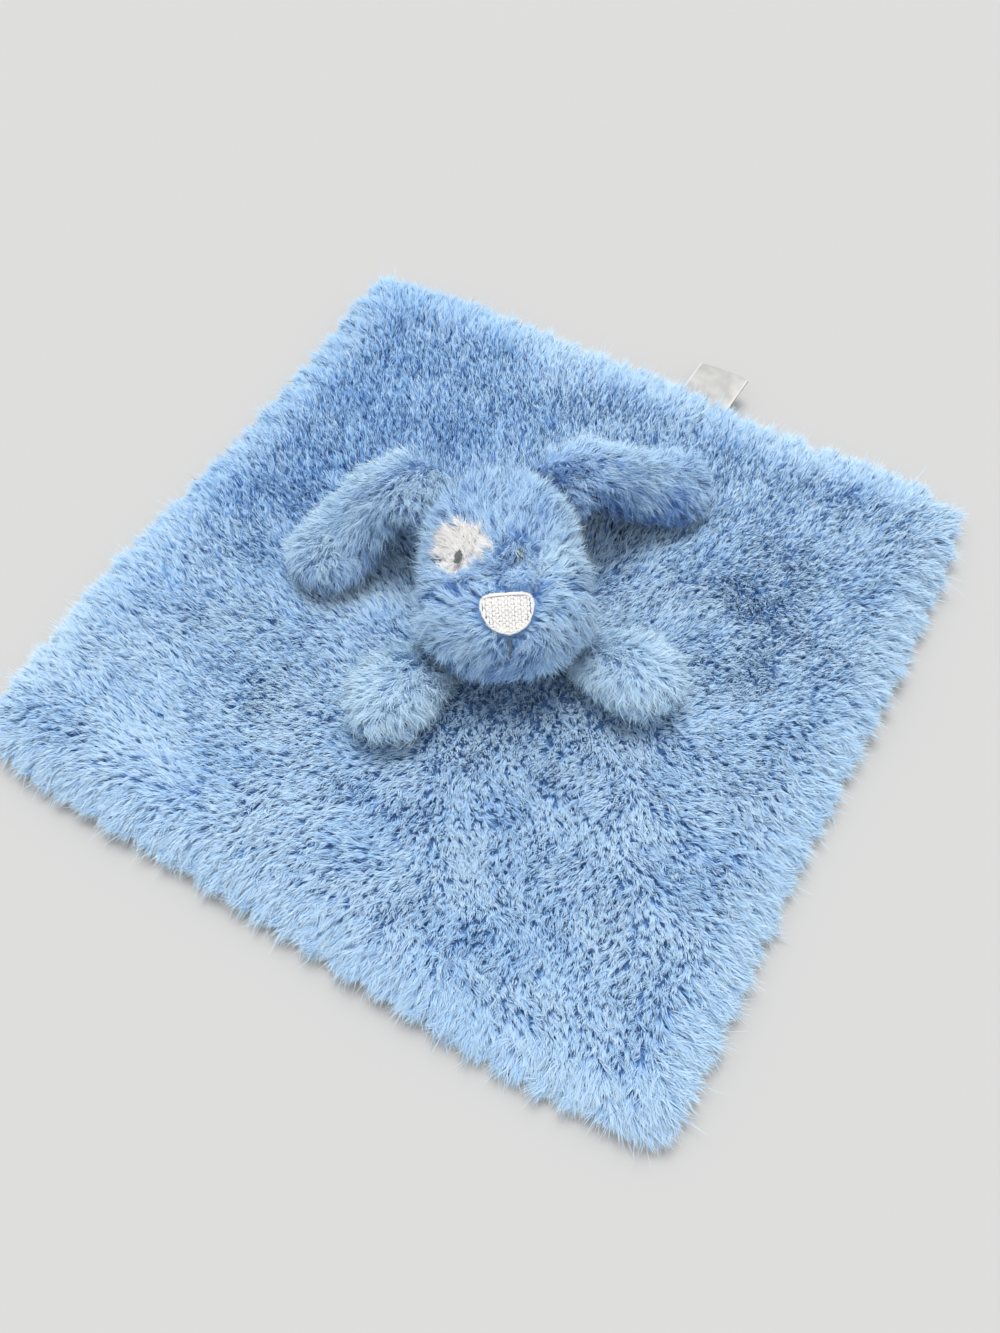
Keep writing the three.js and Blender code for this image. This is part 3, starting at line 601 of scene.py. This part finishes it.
tone_and_shade = tone_and_shade - 0.1 * brow
cheek_line = np.maximum(gap_to(skin, "muzzle_cover"), gap_to(skin, "forehead_cover"))
on_tuft = np.clip(1 - (from_tuft / tuft_shade) ** 2, 0, 1)
crease = np.exp(-(cheek_line / seam_width) ** 2) * (from_tuft > 16 * mm) * 1.2
ring = np.exp(-((from_tuft - tuft_foot) / (1.5 * mm)) ** 2) * (ahead_of_tuft > 0)
crease = crease + 1.8 * ring
rise = rise - 0.1 * on_tuft
length = length * (1 - 0.62 * on_tuft ** 0.4) * (1 - 0.5 * np.minimum(crease, 1)) * (1 - 0.5 * ring)
chin_shade = np.clip(normals @ to_front - 0.35, 0, 1)
right_cheek_light = np.clip((points - tuft) @ to_side / (22 * mm), 0, 1)
# Painted light and shade: lighter round the tuft and on the right cheek, darker in the creases and under the
# chin.
tone_and_shade = tone_and_shade + 0.1 * on_tuft - 0.5 * crease - 0.3 * chin_shade + 0.15 * right_cheek_light
nose_middle = (Vector(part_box("nose_border")[0]) + Vector(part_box("nose_border")[1])) / 2
nose_out = out_of_head(nose_middle)
slope = (Vector((0, 0, 1)) - forward * 0.4).normalized()
nose_across = slope.cross(nose_out).normalized()
nose_up = nose_out.cross(nose_across)


def rounded_share(up):
    return 0.97 - 0.42 * (np.clip(up, -10.2 * mm, 0) / (10 * mm)) ** 2


def drawn_in(places):
    apart = places - np.array(nose_middle)
    across = apart @ np.array(nose_across)
    shift = across * (1 - rounded_share(apart @ np.array(nose_up))) * (np.abs(across) < 14 * mm)
    return places - shift[:, None] * np.array(nose_across)


def under_nose(gap):
    return np.clip(1.25 - gap / (4 * mm), 0, 1)[:, None]


def part_round(lay, gap, reach, centre, weight):
    near = np.clip(1 - gap / reach, 0, 1)[:, None]
    parted = lay * (1 - near) + unit(points - np.array(centre)) * near * weight
    return tangent(parted, normals), near[:, 0]


nose_gap = gap_to(drawn_in(skin), *nose_nodes)
mouth_gap = gap_to(skin, "mouth_line")
eye_gap = gap_to(skin, "eye_left")
far_eye_gap = gap_to(skin, "eye_right")
cloth_places = values_of(head_cover.data.vertices, "co")
cloth_out = values_of(head_cover.data.vertices, "normal")
cloth_gap = gap_to(drawn_in(cloth_places + cloth_out * cloth_depth * mm), *nose_nodes)
raised = under_nose(cloth_gap) * 1.9 * mm
head_cover.data.vertices.foreach_set("co", (cloth_places + cloth_out * raised).reshape(-1))
head_cover.data.update()
points = points + normals * under_nose(nose_gap) * 2.3 * mm
lay, near = part_round(lay, nose_gap, 6 * mm, on_head(0, 34, 16), 1.6)
rise = rise * (1 - 0.4 * near)
length = length * (1 - 0.3 * near)
lay, near = part_round(lay, mouth_gap, 4 * mm, on_head(0, 40, 12), 0.9)
length = length * (1 - 0.55 * near)
lay, near = part_round(lay, eye_gap, 9 * mm, np.array(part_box("eye_left")).mean(0), 1.5)
rise = rise * (1 - 0.35 * near)
length = length * (1 - 0.45 * near)
far_eye = np.array(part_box("eye_right")).mean(0)
near = np.clip(1.8 - far_eye_gap / (4.5 * mm), 0, 1) * ((points - far_eye) @ to_front < 1 * mm)
lay = tangent(lay * (1 - near)[:, None] + to_front * near[:, None], normals)
length = np.where(near > 0, 9.5 * mm, length)
rise = np.where(near > 0, 1.05 - 0.35 * near, rise)
shown = skin + lay * (length * 0.3)[:, None]
patch_gap = np.minimum(gap_to(shown, "eye_patch"), gap_to(shown, "eye_left"))
bare = (nose_gap < 0.8 * mm) | (mouth_gap < 0.6 * mm) | (eye_gap < 0.2 * mm)
white = (patch_gap < 1.8 * mm) & ~bare
blue = ~white & ~bare & (from_tuft > 7 * mm)
face = normals[:, 2] > 0.1
for part, name, seed in ((blue & face, "head_pile_face", 71), (blue & ~face, "head_pile_back", 73)):
    fur = strands(name, "head", head_pile, points[part], normals[part], lay[part], length[part],
                  rise[part], tone_and_shade[part], lock=1.15 * mm, hairs=16, width=0.23 * mm, seed=seed,
                  gather=1.0, free=0.4, sway=0.18, bend=0.8, lock_edge_shade=0.3)

# Brow tuft: a round pad between the eyes, where the forehead's pile and the muzzle's meet. Its hair is
# clipped short all over, and painted shade darkens its lower side.
ball = head_cover.data.copy()
shape = bmesh.new()
shape.from_mesh(ball)
away = [panel for panel in shape.faces
        if (panel.calc_center_median() - Vector(tuft)).length > tuft_radius]
bmesh.ops.delete(shape, geom=away, context="FACES")
shape.to_mesh(ball)
shape.free()
crown, crown_out = surface_points(ball, lock_spacing(1.0), 37)
bpy.data.meshes.remove(ball)
around = tangent(crown - tuft + source.normal(0, 2 * mm, crown.shape), crown_out)
source = np.random.default_rng(38)
low_side_shade = np.clip((crown - tuft) @ to_front / (7 * mm), 0, 1)
crown_length = source.uniform(1.8, 2.6, len(crown)) * mm
crown_rise = source.uniform(0.25, 0.6, len(crown))
# Painted shade: darker toward the lower side.
crown_tone_and_shade = 0.6 - 0.5 * low_side_shade + source.normal(0, 0.05, len(crown))
ball_fur = strands("brow_tuft_pile", "head", head_pile, crown, crown_out, around, crown_length, crown_rise,
                   crown_tone_and_shade, lock=0.8 * mm, hairs=12, width=0.2 * mm, seed=74, gather=1.3, free=0.4,
                   sway=0.15)

# Eye patch: a round piece of white plush let into the face about the left eye. Its backing is white too, and
# its finer hairs spread outwards from the eye.
white_pile = brushed_pile("white_pile", (rgb(240, 239, 238), rgb(246, 245, 244), rgb(252, 251, 250)),
                          (rgb(250, 249, 248), rgb(254, 253, 252), rgb(255, 255, 254)))
white_backing = knit_backing("white_knit_backing", rgb(222, 221, 219), rgb(244, 243, 241))
head_cover.data.materials.append(white_backing)
panels = head_cover.data.polygons
over_panels = np.array([panel.center + panel.normal * cloth_depth * mm for panel in panels])
under_patch = np.minimum(gap_to(over_panels, "eye_patch"), gap_to(over_panels, "eye_left")) < 1.2 * mm
panels.foreach_set("material_index", under_patch.astype(np.int32))
patch_fur = strands("eye_patch_pile", "head", white_pile, points[white], normals[white], lay[white],
                    length[white] * 0.8, rise[white] * 0.75, tone_and_shade[white], lock=1.5 * mm, hairs=30,
                    width=0.2 * mm, seed=72, gather=1.25, free=0.55, sway=0.25)
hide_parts("eye_patch")

# Neck: a short stuffed tube of the head's plush under the jaw, which joins the head to the blanket. Its foot
# is sewn down by hand with a ring of the blue thread.
neck = stuffed_cover("neck_cover", ("neck_stub",), voxel=2 * mm, inset=0.6 * mm, swell=0.4 * mm,
                     material=pale_backing)
points, normals = surface_points(neck.data, lock_spacing(2.2), 141)
round_side = np.abs(normals[:, 2]) < 0.7
points, normals = points[round_side], normals[round_side]
lay = tangent(np.tile((0, 0, -1.0), (len(points), 1)) + normals * 0.01, normals)
neck_fur = strands("neck_pile", "blanket", head_pile, points, normals, lay, np.full(len(points), 5.5 * mm),
                   np.full(len(points), 0.9), np.full(len(points), 0.45), lock=1.5 * mm, hairs=12,
                   width=0.3 * mm, seed=142, gather=1.0, free=0.3, floor=7 * mm)
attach(neck, "blanket")
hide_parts("neck_stub")
finish_node("neck_stitching", blue_thread)

# Nose, mouth and eyes: embroidery on the face. The nose is filled with columns of short white stitches inside
# a raised satin border, the mouth is one grey stitched line, and each eye is a small oval of grey-olive
# stitches.
fine_twist = 900
stitch_rings = 5
stitch_sides = 6
probe = 0.3
border_probe = 0.2
border_stitches = 190
border_reach = 8
white_thread = twisted_thread("white_thread", rgb(238, 237, 235), rgb(253, 252, 250), fine_twist)
# The border and the fill are the same white thread: the border's copy is brighter and the fill's darker, as
# painted light and shade.
border_white_painted_light = twisted_thread("satin_stitch_white_painted_light", rgb(246, 245, 243), rgb(255, 254, 253), fine_twist)
grey_thread = twisted_thread("grey_thread", rgb(84, 94, 94), rgb(122, 132, 130), fine_twist)
mouth_grey = twisted_thread("mouth_thread", rgb(80, 96, 114), rgb(106, 124, 142), fine_twist)


def stitch_mesh(name, runs, thick, lift):
    last = stitch_rings - 1
    verts = []
    faces = []
    for begin, end, out in runs:
        line = end - begin
        side = line.cross(out).normalized()
        first = len(verts)
        for ring in range(stitch_rings):
            share = ring / last
            centre = begin + line * share + out * (lift * 4 * share * (1 - share))
            radius = thick * (0.55 if ring in (0, last) else 1)
            for turn in range(stitch_sides):
                angle = 2 * math.pi * turn / stitch_sides
                across = side * (radius * math.cos(angle))
                verts.append(centre + across + out * (radius * 0.8 * math.sin(angle)))
        for ring in range(last):
            for turn in range(stitch_sides):
                a = first + ring * stitch_sides + turn
                b = first + ring * stitch_sides + (turn + 1) % stitch_sides
                faces.append((a, b, b + stitch_sides, a + stitch_sides))
        faces.append(tuple(first + turn for turn in reversed(range(stitch_sides))))
        faces.append(tuple(first + last * stitch_sides + turn for turn in range(stitch_sides)))
    mesh = bpy.data.meshes.new(name)
    mesh.from_pydata(verts, [], faces)
    mesh.shade_smooth()
    return mesh


class EmbroideryGround:
    def __init__(self, node, *more, rounded=False):
        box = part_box(node)
        self.rounded = rounded
        self.centre = (Vector(box[0]) + Vector(box[1])) / 2
        self.tree = surface_tree(node, *more)
        self.out = out_of_head(self.centre)
        self.across = slope.cross(self.out).normalized()
        self.up = self.out.cross(self.across)

    def at(self, across, up):
        share = rounded_share(up) if self.rounded else 1.0
        start = self.centre + self.across * across * share + self.up * up + self.out * 30 * mm
        place, normal, _, _ = self.tree.ray_cast(start, -self.out, 45 * mm)
        if place is None or normal.dot(self.out) < 0.3:
            return None
        return place + self.across * across * (1 - share)


def column_stitches(ground, half, pitch, long, turned=False, margin=0):
    runs = []
    number = int(half / pitch)
    for index in range(-number, number + 1):
        track = index * pitch
        steps = []
        for step in range(-60, 61):
            reach = step * probe * mm
            place = ground.at(reach, track) if turned else ground.at(track, reach)
            if place is not None:
                steps.append((step, place))
        steps = steps[margin:len(steps) - margin]
        if len(steps) < 4:
            continue
        per_stitch = round(long / (probe * mm))
        begin = steps[0]
        for step, place in steps[1:]:
            staggered = step + per_stitch // 2 * (index % 2)
            if staggered % per_stitch == 0 or step == steps[-1][0]:
                if step - begin[0] > 1:
                    runs.append((begin[1], place, ground.out))
                begin = (step, place)
    return runs


nose = EmbroideryGround("nose_border", "nose_embroidery", rounded=True)
underlay = column_stitches(nose, 12 * mm, pitch=0.8 * mm, long=6 * mm, turned=True, margin=5)
underlay = [(begin - out * 0.5 * mm, end - out * 0.5 * mm, out) for begin, end, out in underlay]
fill = column_stitches(nose, 12 * mm, pitch=1.35 * mm, long=2.1 * mm, margin=4)
nose_mesh = stitch_mesh("nose_stitches", underlay + fill, thick=0.6 * mm, lift=0.26 * mm)
nose_fill = put("nose_stitches", nose_mesh, white_thread)
border = EmbroideryGround("nose_border", rounded=True)
edge_runs = []
for index in range(border_stitches):
    angle = 2 * math.pi * index / border_stitches
    ray = [border.at(math.cos(angle) * step * border_probe * mm, math.sin(angle) * step * border_probe * mm)
           for step in range(25, 75)]
    on_border = [place for place in ray if place is not None]
    if len(on_border) > 2:
        edge_runs.append((on_border[max(0, len(on_border) - border_reach)], on_border[-1], border.out))
border_mesh = stitch_mesh("nose_border_stitches", edge_runs, thick=0.24 * mm, lift=0.8 * mm)
nose_edge = put("nose_border_stitches", border_mesh, border_white_painted_light)
mouth = EmbroideryGround("mouth_line")
mouth_runs = column_stitches(mouth, 0.5 * mm, pitch=0.45 * mm, long=3.2 * mm)
mouth_mesh = stitch_mesh("mouth_stitches", mouth_runs, thick=0.3 * mm, lift=0.2 * mm)
mouth_thread = put("mouth_stitches", mouth_mesh, mouth_grey)
for piece, node, slot in ((nose_fill, "nose_embroidery", "white_thread"),
                          (nose_edge, "nose_border", "white_thread"),
                          (mouth_thread, "mouth_line", "grey_thread")):
    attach(piece, "head")
    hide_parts(node)
for node, depth in (("eye_left", 0.4), ("eye_right", 0.9)):
    eye = EmbroideryGround(node)
    runs = column_stitches(eye, 4 * mm, pitch=0.5 * mm, long=9 * mm, turned=True)
    sunk = eye.out * depth * mm
    runs = [(begin - sunk, end - sunk, out) for begin, end, out in runs]
    eye_mesh = stitch_mesh(node + "_stitches", runs, thick=0.3 * mm, lift=0.5 * mm)
    piece = put(node + "_stitches", eye_mesh, grey_thread)
    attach(piece, "head")
    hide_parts(node)

# Ears: long flat pads of the head's plush, each an upper and an under cover, lightly filled and sewn on by
# the root. They lie over the blanket, and their pile falls from the middle to both sides. Painted shade
# darkens the sides that face the front and a fold along the middle of the upper side near the root, painted
# light brightens the sides that face the rear, and each ear and paw carries its own level of painted light.
limb_hair = 8.6 * mm


def limb(name, body, root, spill, run, across, painted_light_level, shade, stand, seed):
    nodes = (name + "_upper_cover", name + "_under_cover", name + "_stuffing")
    cover = stuffed_cover(name + "_cover", nodes, voxel=3 * mm, inset=3 * mm, swell=1.2 * mm,
                          material=pale_backing)
    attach(cover, body)
    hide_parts(*nodes)
    points, normals = surface_points(cover.data, lock_spacing(1.75), seed)
    centre = points.mean(0)
    axis = np.linalg.svd(points - centre, full_matrices=False)[2][0]
    axis = axis * np.sign(axis @ (centre - np.array(root)))
    lateral = unit(np.cross(axis, (0, 0, 1))[None])[0]
    aside_share = np.clip((points - centre) @ lateral / (14 * mm), -1, 1)
    comb = lateral * (aside_share * spill)[:, None] + axis * run + np.array(across)
    veer = 0.4 * drift(points, 34 * mm, seed + 1) + 0.25 * drift(points, 9 * mm, seed + 2)
    lay = veered(tangent(comb, normals), normals, veer[:, None])
    source = np.random.default_rng(seed + 3)
    length = limb_hair * (1 + source.normal(0, 0.15, len(points)))
    rise = stand + 0.12 * drift(points, 24 * mm, seed + 4) + source.normal(0, 0.1, len(points))
    rise = np.clip(rise, flattest, steepest)
    to_rear = normals @ -to_photo_front
    length = length * (1 + 0.2 * np.clip(to_rear, 0, 1))
    # Painted light and shade: sides facing the rear are lighter, the fold near the root is darker, and each
    # limb has its own level of painted light.
    tone_and_shade = painted_light_level + 0.1 * drift(points, 28 * mm, seed + 5) + shade * to_rear
    tone_and_shade = tone_and_shade + source.normal(0, 0.12, len(points))
    reach = (points - np.array(root)) @ axis
    fold_shade = np.exp(-((aside_share - 0.15) / 0.22) ** 2) * np.clip(1.1 - reach / (45 * mm), 0, 1)
    tone_and_shade = tone_and_shade - 1.2 * shade * fold_shade * (normals[:, 2] > 0)
    rise = np.where(normals[:, 2] < -0.5, 0.2, rise)
    fur = strands(name + "_pile", body, head_pile, points, normals, lay, length, rise, tone_and_shade,
                  lock=1.3 * mm, hairs=14, width=0.23 * mm, seed=seed + 6, gather=1.1, free=0.45,
                  sway=0.18, bend=0.8, lock_edge_shade=0.25, floor=7 * mm)


limb("ear_left", "ear_left", on_head(-24, -10, 12), spill=0.9, run=0.5, across=(0.14, -0.2, 0),
     painted_light_level=0.72, shade=0.38, stand=0.64, seed=101)
limb("ear_right", "ear_right", on_head(24, -10, 12), spill=0.9, run=0.4, across=(0.3, -0.4, 0),
     painted_light_level=0.47, shade=0.45, stand=0.64, seed=111)

# Paws: two short round-ended pads of the same plush, each a top and a sole cover over a little filling. They
# are sewn to the blanket under the chin by their roots and lie on it.
limb("paw_left", "paw_left", on_head(-20, 10, -25), spill=1.0, run=0.4, across=(0.1, -0.15, 0),
     painted_light_level=1.05, shade=0.15, stand=0.46, seed=121)
limb("paw_right", "paw_right", on_head(20, 10, -25), spill=1.0, run=0.4, across=(0.1, -0.15, 0),
     painted_light_level=1.0, shade=0.15, stand=0.46, seed=131)

# Care label: one length of white polyester satin tape, folded double, its two ends sewn into the rim. It bows
# a little across its width, its cut sides are sealed by heat, and it is left unprinted. Soft patches of
# painted sheen and shade break its white.
tape_tilt = math.radians(11)
tape_run = Vector((math.tan(math.radians(5)), math.cos(tape_tilt), math.sin(tape_tilt)))
tape_out = Vector((0, -math.sin(tape_tilt), math.cos(tape_tilt)))
half_width = 14 * mm
fold_radius = 0.75 * mm
straight = 24.9 * mm
cupping = 1.5 * mm
skew = 0.5 * mm
run_steps = 14
across_steps = 20
weave_scale = 420
sheen_cloud_scale = 110
solid_tape = [corner.co.copy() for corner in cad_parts["care_label"].data.vertices]
runs = [corner.y * math.cos(tape_tilt) + corner.z * math.sin(tape_tilt) for corner in solid_tape]
heights = [corner.dot(tape_out) for corner in solid_tape]
sewn = [corner.x for corner, run in zip(solid_tape, runs) if run < min(runs) + 0.1 * mm]
seam_end = tape_out * (min(heights) + max(heights)) / 2 + Vector((sum(sewn) / len(sewn), 0, 0))
seam_end = seam_end + Vector((0, math.cos(tape_tilt), math.sin(tape_tilt))) * min(runs)
path = [(straight * k / run_steps, fold_radius) for k in range(run_steps + 1)]
path += [(straight + fold_radius * math.sin(angle), fold_radius * math.cos(angle))
         for angle in (math.pi * k / 6 for k in range(1, 6))]
path += [(straight * (1 - k / run_steps), -fold_radius) for k in range(run_steps + 1)]
verts = []
edge_share = []
for run, height in path:
    for step in range(across_steps + 1):
        share = step / across_steps * 2 - 1
        bow = cupping * (run / straight) ** 1.3 * (1 - share ** 2) + skew * share * (run / straight) ** 2
        place = seam_end + tape_run * run + tape_out * (height + bow)
        verts.append(place + Vector((half_width * share, 0, 0)))
        edge_share.append(max(0.0, abs(share) * 10 - 9))
faces = []
for row in range(len(path) - 1):
    for step in range(across_steps):
        first = row * (across_steps + 1) + step
        faces.append((first, first + 1, first + across_steps + 2, first + across_steps + 1))
tape_mesh = bpy.data.meshes.new("care_label_tape")
tape_mesh.from_pydata(verts, [], faces)
tape_mesh.attributes.new("sealed", "FLOAT", "POINT").data.foreach_set("value", edge_share)
tape_mesh.shade_smooth()
satin, satin_tree, satin_shader = finish_of("satin_tape", roughness=0.32, sheen=0.2)
place = satin_tree.nodes.new("ShaderNodeTexCoord")
weave = satin_tree.nodes.new("ShaderNodeTexWave")
weave.inputs["Scale"].default_value = weave_scale
weave.inputs["Distortion"].default_value = 0.6
# Painted sheen and shade: soft patches that lighten and darken the tape.
sheen_cloud = satin_tree.nodes.new("ShaderNodeTexNoise")
sheen_cloud.inputs["Scale"].default_value = sheen_cloud_scale
sheen_cloud.inputs["Detail"].default_value = 2
sealed = satin_tree.nodes.new("ShaderNodeAttribute")
sealed.attribute_name = "sealed"
tape_ramp = satin_tree.nodes.new("ShaderNodeValToRGB")
tape_ramp.color_ramp.elements[0].position = 0.3
tape_ramp.color_ramp.elements[0].color = rgb(176, 175, 172)
tape_ramp.color_ramp.elements[1].position = 0.75
tape_ramp.color_ramp.elements[1].color = rgb(210, 209, 206)
threads = satin_tree.nodes.new("ShaderNodeMix")
threads.data_type = "RGBA"
threads.blend_type = "MULTIPLY"
threads.inputs["Factor"].default_value = 0.12
sealed_sides = satin_tree.nodes.new("ShaderNodeMix")
sealed_sides.data_type = "RGBA"
sealed_sides.inputs[mix_high].default_value = rgb(222, 221, 219)
tape_bump = satin_tree.nodes.new("ShaderNodeBump")
tape_bump.inputs["Strength"].default_value = 0.35
tape_bump.inputs["Distance"].default_value = 0.1 * mm
for leaving, entering in ((place.outputs["Object"], weave.inputs["Vector"]),
                          (place.outputs["Object"], sheen_cloud.inputs["Vector"]),
                          (sheen_cloud.outputs["Fac"], tape_ramp.inputs["Fac"]),
                          (tape_ramp.outputs["Color"], threads.inputs[mix_low]),
                          (weave.outputs["Color"], threads.inputs[mix_high]),
                          (threads.outputs[mix_result], sealed_sides.inputs[mix_low]),
                          (sealed.outputs["Fac"], sealed_sides.inputs["Factor"]),
                          (sealed_sides.outputs[mix_result], satin_shader.inputs["Base Color"]),
                          (weave.outputs["Fac"], tape_bump.inputs["Height"]),
                          (tape_bump.outputs["Normal"], satin_shader.inputs["Normal"])):
    satin_tree.links.new(leaving, entering)
label_tape = put("care_label_tape", tape_mesh, satin)
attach(label_tape, "label")
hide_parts("care_label")

# Table, lamps and camera: a plain sheet of pale board, lit by one broad soft lamp overhead, a weak one in
# front and even light from the room. The camera stands where the photo was taken from.
table_half = 20.0
room_light = 0.58
wall_brightness = 0.725
table_mesh = bpy.data.meshes.new("table_top")
table_mesh.from_pydata([(-table_half, -table_half, 0), (table_half, -table_half, 0),
                        (table_half, table_half, 0), (-table_half, table_half, 0)], [], [(0, 1, 2, 3)])
board, _, board_shader = finish_of("pale_board", roughness=0.8)
board_shader.inputs["Base Color"].default_value = rgb(196, 196, 195)
table = put("table_top", table_mesh, board)

world = bpy.data.worlds.new("room")
world.use_nodes = True
room = world.node_tree.nodes["Background"]
room.inputs["Color"].default_value = (1, 1, 1, 1)
room.inputs["Strength"].default_value = room_light
rays = world.node_tree.nodes.new("ShaderNodeLightPath")
wall = world.node_tree.nodes.new("ShaderNodeBackground")
wall.inputs["Color"].default_value = (1, 1, 0.99, 1)
wall.inputs["Strength"].default_value = wall_brightness
seen = world.node_tree.nodes.new("ShaderNodeMixShader")
world.node_tree.links.new(rays.outputs["Is Camera Ray"], seen.inputs[0])
world.node_tree.links.new(room.outputs[0], seen.inputs[1])
world.node_tree.links.new(wall.outputs[0], seen.inputs[2])
world.node_tree.links.new(seen.outputs[0], world.node_tree.nodes["World Output"].inputs["Surface"])
bpy.context.scene.world = world


def lamp(name, place, spread, power):
    data = bpy.data.lights.new(name, "SUN")
    data.angle = math.radians(spread)
    data.energy = power
    light = bpy.data.objects.new(name, data)
    bpy.context.scene.collection.objects.link(light)
    light.rotation_euler = Vector(place).to_track_quat("Z", "Y").to_euler()


lamp("broad_lamp", (-0.35, 0.62, 2.3), spread=33, power=2.15)
lamp("side_lamp", (0.5, -0.8, 1.2), spread=35, power=0.35)

eye_height = math.radians(58.74)
heading = math.radians(32.77)
lean = math.radians(-2.05)
camera_distance = 0.5424
target = Vector((14.33, -18.15, 0)) * mm
back = Vector((math.sin(heading) * math.cos(eye_height), -math.cos(heading) * math.cos(eye_height),
               math.sin(eye_height)))
right = Vector((0, 0, 1)).cross(back).normalized()
top = back.cross(right)
right, top = (right * math.cos(lean) + top * math.sin(lean), top * math.cos(lean) - right * math.sin(lean))
lens = bpy.data.cameras.new("camera")
lens.lens = 30.99
lens.sensor_width = 36
camera = bpy.data.objects.new("camera", lens)
bpy.context.scene.collection.objects.link(camera)
view = Matrix((right, top, back)).transposed().to_4x4()
view.translation = target + back * camera_distance
camera.matrix_world = view
bpy.context.scene.camera = camera
bpy.context.scene.view_settings.view_transform = "Standard"
